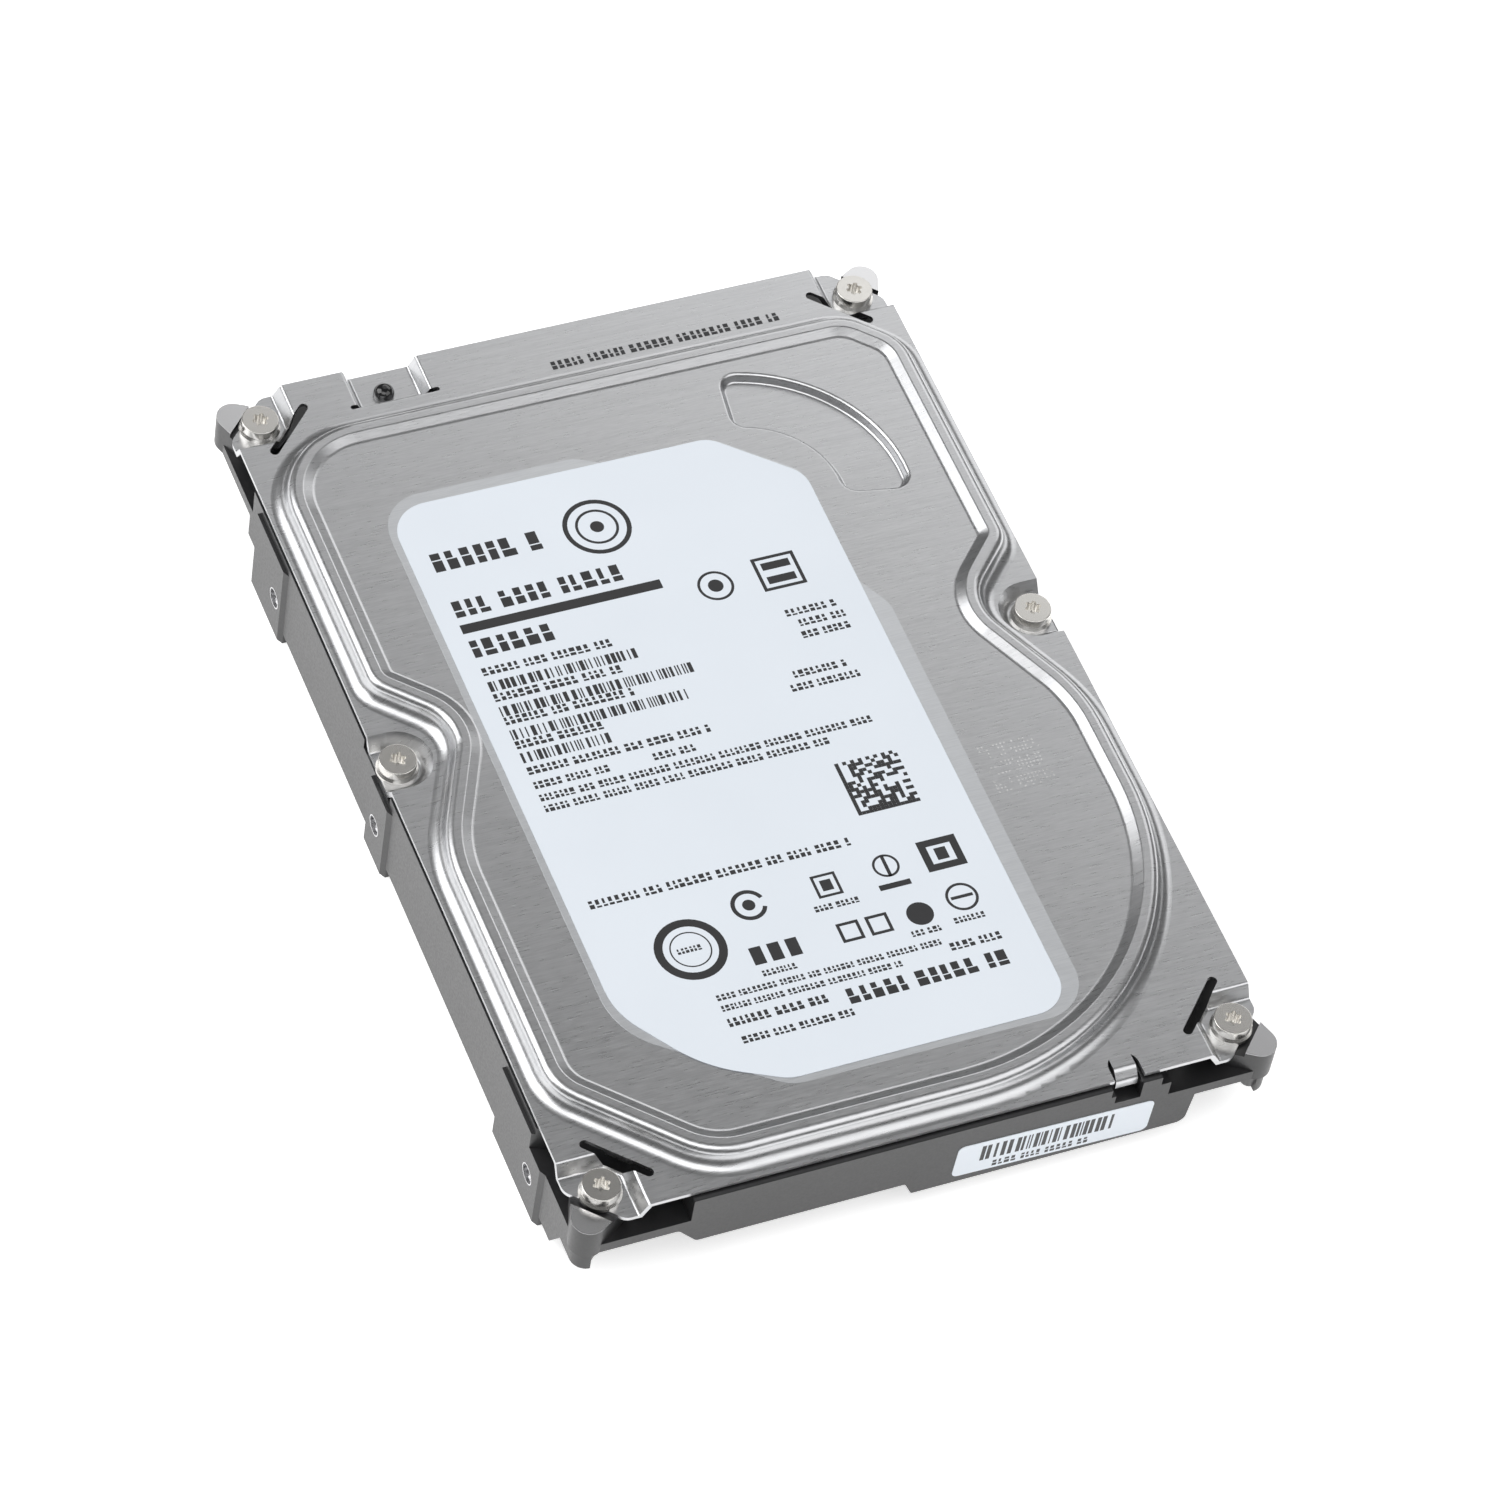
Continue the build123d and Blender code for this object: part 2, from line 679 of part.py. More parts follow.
contact_pitch = 1.27
signal_first = connector_x - 9.9 - 3 * contact_pitch
power_first = connector_x + 7.0 - 7 * contact_pitch
contact_places = [(signal_first + contact_pitch * index, far_y - 3.5) for index in range(7)]
contact_places += [(power_first + contact_pitch * index, far_y - 3.5) for index in range(15)]
sata_contacts = block_group(contact_places, 0.8, 5.0, 0.08, tongue_high)
sata_contacts.part.label = "sata_contacts"
export_step(sata_contacts.part, "parts/sata_contacts.step")

jumper_xs = [-16.4 + 2.0 * index for index in range(4)]
jumper_level = board_top + 0.85
with BuildPart() as jumper_block:
    with BuildSketch(Plane.XY.offset(board_top)):
        with Locations((-13.4, 66.7)):
            Rectangle(8.4, 3)
    extrude(amount=1.7)
    with BuildSketch(Plane.XZ.offset(-64)):
        with Locations(*[(x, jumper_level) for x in jumper_xs]):
            Rectangle(0.66, 0.66)
    extrude(amount=-6, mode=Mode.SUBTRACT)
jumper_block.part.label = "jumper_block"
export_step(jumper_block.part, "parts/jumper_block.step")

with BuildPart() as jumper_pins:
    with BuildSketch(Plane.XZ.offset(-65.2)):
        with Locations(*[(x, jumper_level) for x in jumper_xs]):
            Rectangle(0.64, 0.64)
    extrude(amount=-7.2)
jumper_pins.part.label = "jumper_pins"
export_step(jumper_pins.part, "parts/jumper_pins.step")

with BuildPart() as bulkhead_connector:
    with BuildSketch(Plane.XY.offset(board_top)):
        with Locations(bulkhead_at):
            Rectangle(bulkhead_hole[0] - 0.1, bulkhead_hole[1] - 0.1)
    extrude(amount=bay_floor - board_top)
    with BuildSketch(Plane.XY.offset(bay_floor)):
        with Locations(bulkhead_at):
            RectangleRounded(15, 7, 1)
    extrude(amount=4)
bulkhead_connector.part.label = "bulkhead_connector"
export_step(bulkhead_connector.part, "parts/bulkhead_connector.step")

# ---------------------------------------------------------------- spindle motor
bush_r, bush_bore_r, shaft_r = 3.6, 2.03, 2.0
teeth = 9
magnet_in, skirt_in, skirt_out = 10.9, 12.4, 14.9
hub_top = 14.2

with BuildPart() as motor_base:
    with BuildSketch(spindle_plane.offset(2.2)):
        Circle(16)
    extrude(amount=floor_under - 2.2)
    with BuildSketch(spindle_plane.offset(floor_under)):
        Circle(motor_hole_r)
    extrude(amount=motor_seat - floor_under)
    with BuildSketch(spindle_plane.offset(motor_seat)):
        Circle(4.6)
    extrude(amount=9.0 - motor_seat)
    with BuildSketch(spindle_plane.offset(3.0)):
        Circle(bush_r)
    extrude(amount=7, mode=Mode.SUBTRACT)
    chamfer(motor_base.faces().sort_by(Axis.Z)[0].edges(), 0.5)
motor_base.part.label = "motor_base"
export_step(motor_base.part, "parts/motor_base.step")

with BuildPart() as bearing_bush:
    with BuildSketch(spindle_plane.offset(3.0)):
        Circle(bush_r)
        Circle(bush_bore_r, mode=Mode.SUBTRACT)
    extrude(amount=7.6)
bearing_bush.part.label = "bearing_bush"
export_step(bearing_bush.part, "parts/bearing_bush.step")

with BuildPart() as spindle_shaft:
    with BuildSketch(spindle_plane.offset(3.3)):
        Circle(shaft_r)
    extrude(amount=hub_top - 3.3)
spindle_shaft.part.label = "spindle_shaft"
export_step(spindle_shaft.part, "parts/spindle_shaft.step")

tooth_angles = [360 / teeth * index for index in range(teeth)]
with BuildPart() as stator_core:
    with BuildSketch(spindle_plane.offset(6.6)):
        Circle(6.2)
        with PolarLocations(8.0, teeth):
            Rectangle(4.2, 1.4)
        for angle in tooth_angles:
            with BuildLine():
                fan(9.5, 10.4, angle - 15, angle + 15)
            make_face()
        Circle(4.6, mode=Mode.SUBTRACT)
    extrude(amount=2.0)
stator_core.part.label = "stator_core"
export_step(stator_core.part, "parts/stator_core.step")

with BuildPart() as stator_coils:
    with BuildSketch(spindle_plane.offset(5.9)):
        with PolarLocations(7.9, teeth):
            RectangleRounded(2.8, 3.2, 0.5)
    extrude(amount=3.4)
    with BuildSketch(spindle_plane.offset(6.6)):
        with PolarLocations(7.9, teeth):
            Rectangle(4.4, 1.4)
    extrude(amount=2.0, mode=Mode.SUBTRACT)
stator_coils.part.label = "stator_coils"
export_step(stator_coils.part, "parts/stator_coils.step")

with BuildPart() as motor_flex:
    with BuildSketch(Plane.XY.offset(floor_under - 0.15)):
        with Locations((0, spindle[1] + 16.1)):
            Rectangle(5, 28.4, align=(Align.CENTER, Align.MIN))
    extrude(amount=0.15)
    with BuildSketch(Plane.XY.offset(board_top)):
        with Locations(*[(1.2 * index - 1.8, 23.4) for index in range(4)]):
            Rectangle(0.6, 1.2)
    extrude(amount=floor_under - 0.15 - board_top)
motor_flex.part.label = "motor_flex"
export_step(motor_flex.part, "parts/motor_flex.step")

with BuildPart() as rotor_magnet:
    with BuildSketch(spindle_plane.offset(6.2)):
        Circle(skirt_in)
        Circle(magnet_in, mode=Mode.SUBTRACT)
    extrude(amount=3.6)
rotor_magnet.part.label = "rotor_magnet"
export_step(rotor_magnet.part, "parts/rotor_magnet.step")

radial_plane = Plane(origin=(spindle[0], spindle[1], 0), x_dir=(1, 0, 0), z_dir=(0, -1, 0))
spindle_axis = Axis((spindle[0], spindle[1], 0), (0, 0, 1))
clamp_screw_ring = 8.2

with BuildPart() as spindle_hub:
    with BuildSketch(radial_plane):
        with BuildLine():
            Polyline(
                (shaft_r, 11.2),
                (skirt_in, 11.2),
                (skirt_in, 6.0),
                (skirt_out, 6.0),
                (skirt_out, 11.0),
                (15.5, 11.2),
                (15.5, disk_low),
                (disk_bore_r - 0.05, disk_low),
                (disk_bore_r - 0.05, hub_top),
                (shaft_r, hub_top),
                close=True,
            )
        make_face()
    revolve(axis=spindle_axis)
    with BuildSketch(spindle_plane.offset(hub_top)):
        with PolarLocations(clamp_screw_ring, 6):
            Circle(1.0)
    extrude(amount=-2.2, mode=Mode.SUBTRACT)
spindle_hub.part.label = "spindle_hub"
export_step(spindle_hub.part, "parts/spindle_hub.step")

with BuildPart() as platter:
    with BuildSketch(spindle_plane.offset(disk_low)):
        Circle(disk_r)
        Circle(disk_bore_r, mode=Mode.SUBTRACT)
    extrude(amount=disk_top - disk_low)
    chamfer(platter.edges().filter_by(GeomType.CIRCLE), 0.12)
platter.part.label = "platter"
export_step(platter.part, "parts/platter.step")

with BuildPart() as disk_clamp:
    with BuildSketch(radial_plane):
        with BuildLine():
            Polyline(
                (2.6, hub_top),
                (disk_bore_r + 0.1, hub_top),
                (13.8, disk_top),
                (15.4, disk_top),
                (15.4, 14.0),
                (14.6, 14.6),
                (12.8, 15.1),
                (2.6, 15.1),
                close=True,
            )
        make_face()
    revolve(axis=spindle_axis)
    with BuildSketch(spindle_plane.offset(hub_top)):
        with PolarLocations(clamp_screw_ring, 6):
            Circle(1.05)
        with PolarLocations(clamp_screw_ring, 6, start_angle=30):
            Circle(1.4)
    extrude(amount=2, mode=Mode.SUBTRACT)
disk_clamp.part.label = "disk_clamp"
export_step(disk_clamp.part, "parts/disk_clamp.step")

with BuildPart() as clamp_screws:
    with BuildSketch(spindle_plane.offset(15.1)):
        with PolarLocations(clamp_screw_ring, 6):
            Circle(1.8)
    extrude(amount=1.0)
    with BuildSketch(spindle_plane.offset(12.2)):
        with PolarLocations(clamp_screw_ring, 6):
            Circle(0.95)
    extrude(amount=2.9)
    with BuildSketch(spindle_plane.offset(16.1)):
        with PolarLocations(clamp_screw_ring, 6):
            Circle(0.7)
    extrude(amount=-0.8, mode=Mode.SUBTRACT)
clamp_screws.part.label = "clamp_screws"
export_step(clamp_screws.part, "parts/clamp_screws.step")

# ---------------------------------------------------------------- actuator
hub_r, sleeve_r, sleeve_bore_r = 8.2, 6.2, 5.6
race_gap_in, race_gap_out, ball_r = 3.85, 4.95, 0.5
post_shaft_r = 3.0
bearing_levels = [8.8, 14.4]
bearing_height = 2.0
arm_low, arm_high = 14.4, 15.4
fork_low, fork_high = 11.2, 13.4
fork_reach, fork_half = 24.8, 25
coil_low, coil_high = 10.9, 13.7
balls_per_race = 9
across_disk = Plane.XY.offset(disk_mid)

with BuildPart() as pivot_shaft:
    with BuildSketch(pivot_plane.offset(5.2)):
        Circle(1.78)
    extrude(amount=bay_floor - 5.2)
    with BuildSketch(pivot_plane.offset(bay_floor)):
        Circle(3.8)
    extrude(amount=bearing_levels[0] - bay_floor)
    with BuildSketch(pivot_plane.offset(bearing_levels[0])):
        Circle(post_shaft_r)
    extrude(amount=17.0 - bearing_levels[0])
    with BuildSketch(pivot_plane.offset(17.0)):
        RegularPolygon(1.5, 6)
    extrude(amount=-1.5, mode=Mode.SUBTRACT)
pivot_shaft.part.label = "pivot_shaft"
export_step(pivot_shaft.part, "parts/pivot_shaft.step")


def pivot_rings(inner, outer, levels, height):
    """Rings round the pivot axis, one at each level."""
    with BuildPart() as rings:
        for level in levels:
            with BuildSketch(pivot_plane.offset(level)):
                Circle(outer)
                Circle(inner, mode=Mode.SUBTRACT)
            extrude(amount=height)
    return rings


pivot_inner_races = pivot_rings(post_shaft_r, race_gap_in, bearing_levels, bearing_height)
pivot_inner_races.part.label = "pivot_inner_races"
export_step(pivot_inner_races.part, "parts/pivot_inner_races.step")

pivot_outer_races = pivot_rings(race_gap_out, sleeve_bore_r, bearing_levels, bearing_height)
pivot_outer_races.part.label = "pivot_outer_races"
export_step(pivot_outer_races.part, "parts/pivot_outer_races.step")

pivot_sleeve = pivot_rings(sleeve_bore_r, sleeve_r, bearing_levels[:1], 16.4 - bearing_levels[0])
pivot_sleeve.part.label = "pivot_sleeve"
export_step(pivot_sleeve.part, "parts/pivot_sleeve.step")

with BuildPart() as pivot_balls:
    for level in bearing_levels:
        with Locations(pivot_plane.offset(level + bearing_height / 2)):
            with PolarLocations((race_gap_in + race_gap_out) / 2, balls_per_race):
                Sphere(ball_r)
pivot_balls.part.label = "pivot_balls"
export_step(pivot_balls.part, "parts/pivot_balls.step")

with BuildPart() as actuator_arm:
    with BuildSketch(arm_plane.offset(bearing_levels[0])):
        Circle(hub_r)
    extrude(amount=16.4 - bearing_levels[0])
    with BuildSketch(arm_plane.offset(arm_low)):
        with BuildLine():
            FilletPolyline(
                (1, hub_r - 0.2),
                (-31, 3.4),
                (-38.4, 3.1),
                (-38.4, -3.1),
                (-31, -3.4),
                (1, -hub_r + 0.2),
                radius=[0, 2, 1.5, 1.5, 2, 0],
                close=True,
            )
        make_face()
        with BuildLine():
            FilletPolyline((-12, 4.2), (-28, 1.9), (-28, -1.9), (-12, -4.2), radius=0.8, close=True)
        make_face(mode=Mode.SUBTRACT)
        with Locations((-35, 0)):
            Circle(1.5, mode=Mode.SUBTRACT)
    extrude(amount=arm_high - arm_low)
    mirror(actuator_arm.part, about=across_disk)
    with BuildSketch(arm_plane.offset(fork_low)):
        with BuildLine():
            fan(7.6, fork_reach, -fork_half, fork_half)
        make_face()
        with BuildLine():
            fan(11.4, 28, -fork_half + 2.6, fork_half - 2.6)
        make_face(mode=Mode.SUBTRACT)
    extrude(amount=fork_high - fork_low)
    with BuildSketch(arm_plane):
        Circle(sleeve_r)
    extrude(amount=20, mode=Mode.SUBTRACT)
    with BuildSketch(arm_plane):
        Circle(30)
        Circle(15, mode=Mode.SUBTRACT)
    extrude(amount=bearing_levels[0], mode=Mode.SUBTRACT)
actuator_arm.part.label = "actuator_arm"
export_step(actuator_arm.part, "parts/actuator_arm.step")

with BuildPart() as voice_coil:
    with BuildSketch(arm_plane.offset(coil_low)):
        with BuildLine():
            fan(12.6, 23.4, -19, 19)
        make_face()
        fillet(vertices(), 2.0)
        with BuildLine():
            fan(16.0, 20.0, -8.5, 8.5)
        make_face(mode=Mode.SUBTRACT)
    extrude(amount=coil_high - coil_low)
voice_coil.part.label = "voice_coil"
export_step(voice_coil.part, "parts/voice_coil.step")

with BuildPart() as coil_overmold:
    with BuildSketch(arm_plane.offset(fork_low)):
        with BuildLine():
            fan(11.4, 24.6, -fork_half + 2.6, fork_half - 2.6)
        make_face()
        with BuildLine():
            fan(16.0, 20.0, -8.5, 8.5)
        make_face(mode=Mode.SUBTRACT)
    extrude(amount=fork_high - fork_low)
    add(voice_coil.part, mode=Mode.SUBTRACT)
coil_overmold.part.label = "coil_overmold"
export_step(coil_overmold.part, "parts/coil_overmold.step")

beam_profile = [
    (-31, 14.2),
    (-39, 14.2),
    (-54.4, 13.82),
    (-56.2, 13.82),
    (-57.3, 14.55),
    (-tab_reach, 14.55),
    (-tab_reach, 14.7),
    (-57.3, 14.7),
    (-56.2, 13.97),
    (-54.4, 13.97),
    (-39, 14.4),
    (-31, 14.4),
]
beam_plan = [(-30, 3.0), (-39, 3.0), (-42, 2.6), (-54, 1.2), (-56.4, 0.9), (-57.2, 0.45), (-61, 0.45)]
with BuildPart() as suspension_upper:
    with BuildSketch(Plane(origin=arm_plane.origin, x_dir=arm_plane.x_dir, z_dir=-arm_plane.y_dir)):
        with BuildLine():
            Polyline(*beam_profile, close=True)
        make_face()
    extrude(amount=5, both=True)
    with BuildSketch(arm_plane.offset(13)):
        with BuildLine():
            Polyline(*beam_plan, *[(x, -y) for x, y in beam_plan[::-1]], close=True)
        make_face()
        with Locations((-35, 0)):
            Circle(1.4, mode=Mode.SUBTRACT)
    extrude(amount=3, mode=Mode.INTERSECT)
suspension_upper.part.label = "suspension_upper"
export_step(suspension_upper.part, "parts/suspension_upper.step")

with BuildPart() as suspension_lower:
    mirror(suspension_upper.part, about=across_disk)
suspension_lower.part.label = "suspension_lower"
export_step(suspension_lower.part, "parts/suspension_lower.step")

with BuildPart() as slider_upper:
    with BuildSketch(arm_plane.offset(13.54)):
        with Locations((-head_reach, 0)):
            Rectangle(1.25, 1.0)
    extrude(amount=0.28)
slider_upper.part.label = "slider_upper"
export_step(slider_upper.part, "parts/slider_upper.step")

with BuildPart() as slider_lower:
    mirror(slider_upper.part, about=across_disk)
slider_lower.part.label = "slider_lower"
export_step(slider_lower.part, "parts/slider_lower.step")

with BuildPart() as preamp_chip:
    with BuildSketch(pivot_plane.offset(11.0)):
        with Locations(Location(polar(hub_r + 0.35, 150), 150)):
            Rectangle(0.7, 2.4)
    extrude(amount=2.4)
    with BuildSketch(pivot_plane):
        Circle(hub_r)
    extrude(amount=20, mode=Mode.SUBTRACT)
preamp_chip.part.label = "preamp_chip"
export_step(preamp_chip.part, "parts/preamp_chip.step")

flex_start = (pivot[0] + (hub_r + 0.12) * cos(radians(118)), pivot[1] + (hub_r + 0.12) * sin(radians(118)))
flex_end = (bulkhead_at[0] + 7.6, bulkhead_at[1])
with BuildPart() as head_flex_cable:
    with BuildSketch(Plane.XY.offset(9.4)):
        with BuildLine() as flex_line:
            ThreePointArc(flex_start, (-2, 54.5), flex_end)
        trace(flex_line.line, 0.15)
    extrude(amount=4.6)
head_flex_cable.part.label = "head_flex_cable"
export_step(head_flex_cable.part, "parts/head_flex_cable.step")

# ---------------------------------------------------------------- voice coil motor
plate_low, plate_in, plate_out = -19, 10.8, 25.4
plate_high = 91
magnet_low, magnet_high = -8.5, 80.5
pillar_angles = [coil_angle - fork_half - 8.9, coil_angle + fork_half + 32.6 + 8.9]
pillar_reach, pillar_r, bumper_r = 21, 2.0, 2.8


def yoke(level, height, inner, outer, low, high):
    """A fan-shaped plate round the pivot."""
    with BuildPart() as plate:
        with BuildSketch(pivot_plane.offset(level)):
            with BuildLine():
                fan(inner, outer, low, high)
            make_face()
            fillet(vertices(), 1.2)
        extrude(amount=height)
    return plate


vcm_bottom_plate = yoke(bay_floor, 1.8, plate_in, plate_out, plate_low, plate_high)
vcm_bottom_plate.part.label = "vcm_bottom_plate"
export_step(vcm_bottom_plate.part, "parts/vcm_bottom_plate.step")

vcm_lower_magnet = yoke(8.2, 1.8, 12.4, 23.6, magnet_low, magnet_high)
vcm_lower_magnet.part.label = "vcm_lower_magnet"
export_step(vcm_lower_magnet.part, "parts/vcm_lower_magnet.step")

vcm_upper_magnet = yoke(14.4, 1.6, 12.4, 23.6, magnet_low, magnet_high)
vcm_upper_magnet.part.label = "vcm_upper_magnet"
export_step(vcm_upper_magnet.part, "parts/vcm_upper_magnet.step")

with BuildPart() as vcm_top_plate:
    add(yoke(16.0, 1.2, plate_in, plate_out, plate_low, plate_high).part)
    with BuildSketch(pivot_plane.offset(16.0)):
        with Locations(*[polar(pillar_reach, angle) for angle in pillar_angles]):
            Circle(0.9)
    extrude(amount=2, mode=Mode.SUBTRACT)
    with BuildSketch(pivot_plane.offset(16.6)):
        with Locations(*[polar(pillar_reach, angle) for angle in pillar_angles]):
            Circle(1.7)
    extrude(amount=2, mode=Mode.SUBTRACT)
vcm_top_plate.part.label = "vcm_top_plate"
export_step(vcm_top_plate.part, "parts/vcm_top_plate.step")


def pillar_group(inner, outer, low, high):
    """Round pieces on both pillar places, hollow when inner is not zero."""
    with BuildPart() as group:
        with BuildSketch(pivot_plane.offset(low)):
            with Locations(*[polar(pillar_reach, angle) for angle in pillar_angles]):
                Circle(outer)
                if inner:
                    Circle(inner, mode=Mode.SUBTRACT)
        extrude(amount=high - low)
    return group


vcm_pillars = pillar_group(0.85, pillar_r, 8.2, 16.0)
vcm_pillars.part.label = "vcm_pillars"
export_step(vcm_pillars.part, "parts/vcm_pillars.step")

crash_stops = pillar_group(pillar_r, bumper_r, 10.4, 14.2)
crash_stops.part.label = "crash_stops"
export_step(crash_stops.part, "parts/crash_stops.step")

with BuildPart() as vcm_screws:
    add(pillar_group(0, 0.8, 12.5, 16.6).part)
    with BuildSketch(pivot_plane.offset(16.6)):
        with Locations(*[polar(pillar_reach, angle) for angle in pillar_angles]):
            Circle(1.6)
    extrude(amount=0.6)
vcm_screws.part.label = "vcm_screws"
export_step(vcm_screws.part, "parts/vcm_screws.step")

# ---------------------------------------------------------------- load ramp, latch and filters
ramp_inner, ramp_outer = 57.2, 60.4
ramp_top = 14.25
ramp_screw_at = (pivot[0] + 58.2 * cos(radians(191.6)), pivot[1] + 58.2 * sin(radians(191.6)))

with BuildPart() as load_ramp:
    with BuildSketch(pivot_plane.offset(bay_floor)):
        with BuildLine():
            fan(55.6, ramp_outer, 188.6, 195.2)
        make_face()
    extrude(amount=ramp_top - bay_floor)
    with BuildSketch(pivot_plane.offset(2 * disk_mid - ramp_top)):
        with BuildLine():
            fan(ramp_inner, ramp_outer, 194.9, 204.0)
        make_face()
    extrude(amount=2 * (ramp_top - disk_mid))
    with BuildSketch(spindle_plane.offset(disk_low - 0.4)):
        Circle(disk_r + 0.5)
    extrude(amount=disk_top - disk_low + 0.8, mode=Mode.SUBTRACT)
    with BuildSketch(Plane.XY.offset(bay_floor)):
        with Locations(ramp_screw_at):
            Circle(0.95)
    extrude(amount=10, mode=Mode.SUBTRACT)
    with BuildSketch(Plane.XY.offset(9.5)):
        with Locations(ramp_screw_at):
            Circle(1.75)
    extrude(amount=10, mode=Mode.SUBTRACT)
load_ramp.part.label = "load_ramp"
export_step(load_ramp.part, "parts/load_ramp.step")

with BuildPart() as ramp_screw:
    with BuildSketch(Plane.XY.offset(9.5)):
        with Locations(ramp_screw_at):
            Circle(1.7)
    extrude(amount=1.0)
    with BuildSketch(Plane.XY.offset(bay_floor)):
        with Locations(ramp_screw_at):
            Circle(0.9)
    extrude(amount=3.1)
ramp_screw.part.label = "ramp_screw"
export_step(ramp_screw.part, "parts/ramp_screw.step")

latch_at = (38.6, 20.8)
latch_pin_r, latch_bore_r, latch_hub_r = 0.9, 0.95, 2.1
latch_low, latch_high = 9.0, 12.8
with BuildPart() as latch_pin:
    with BuildSketch(Plane.XY.offset(bay_floor)):
        with Locations(latch_at):
            Circle(1.8)
    extrude(amount=latch_low - 0.05 - bay_floor)
    with BuildSketch(Plane.XY.offset(latch_low - 0.05)):
        with Locations(latch_at):
            Circle(latch_pin_r)
    extrude(amount=latch_high - latch_low + 0.1)
    with BuildSketch(Plane.XY.offset(latch_high + 0.05)):
        with Locations(latch_at):
            Circle(1.5)
    extrude(amount=0.5)
latch_pin.part.label = "latch_pin"
export_step(latch_pin.part, "parts/latch_pin.step")

with BuildPart() as actuator_latch:
    with BuildSketch(Plane.XY.offset(latch_low)):
        with Locations(latch_at):
            Circle(latch_hub_r)
        with BuildLine():
            FilletPolyline(
                (39.6, 20.8),
                (41.9, 28.6),
                (41.0, 29.9),
                (39.9, 29.4),
                (40.3, 28.4),
                (37.8, 21.2),
                (35.4, 16.6),
                (37.4, 15.4),
                radius=0.3,
                close=True,
            )
        make_face()
        with Locations(latch_at):
            Circle(latch_bore_r, mode=Mode.SUBTRACT)
    extrude(amount=latch_high - latch_low)
actuator_latch.part.label = "actuator_latch"
export_step(actuator_latch.part, "parts/actuator_latch.step")

with BuildPart() as recirculation_filter:
    with BuildSketch(Plane.XY.offset(9.0)):
        with Locations(Location((-37.4, -57.9), -45)):
            RectangleRounded(16, 2.4, 0.8)
    extrude(amount=6)
recirculation_filter.part.label = "recirculation_filter"
export_step(recirculation_filter.part, "parts/recirculation_filter.step")

with BuildPart() as desiccant_pack:
    with BuildSketch(Plane.XY.offset(bay_floor)):
        with Locations((-33, 54.4)):
            RectangleRounded(16, 8, 1.5)
    extrude(amount=4)
desiccant_pack.part.label = "desiccant_pack"
export_step(desiccant_pack.part, "parts/desiccant_pack.step")
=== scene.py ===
import json
import random
from math import cos, pi, radians, sin

import bmesh
import bpy
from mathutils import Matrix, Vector


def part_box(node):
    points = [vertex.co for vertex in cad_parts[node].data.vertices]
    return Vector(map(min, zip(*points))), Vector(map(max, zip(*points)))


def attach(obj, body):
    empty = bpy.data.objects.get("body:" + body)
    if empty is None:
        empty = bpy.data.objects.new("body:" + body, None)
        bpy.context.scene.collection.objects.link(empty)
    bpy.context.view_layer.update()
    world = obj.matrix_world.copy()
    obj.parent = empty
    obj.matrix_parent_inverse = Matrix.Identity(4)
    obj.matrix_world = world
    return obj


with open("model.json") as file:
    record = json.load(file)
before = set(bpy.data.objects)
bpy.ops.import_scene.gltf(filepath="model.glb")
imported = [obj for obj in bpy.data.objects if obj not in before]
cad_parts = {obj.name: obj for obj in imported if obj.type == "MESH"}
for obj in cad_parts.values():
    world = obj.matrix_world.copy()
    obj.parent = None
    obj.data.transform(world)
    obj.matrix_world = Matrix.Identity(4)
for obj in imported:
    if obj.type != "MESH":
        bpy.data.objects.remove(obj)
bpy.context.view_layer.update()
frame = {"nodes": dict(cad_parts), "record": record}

MM = 0.001
nodes = frame["nodes"]
random.seed(41)


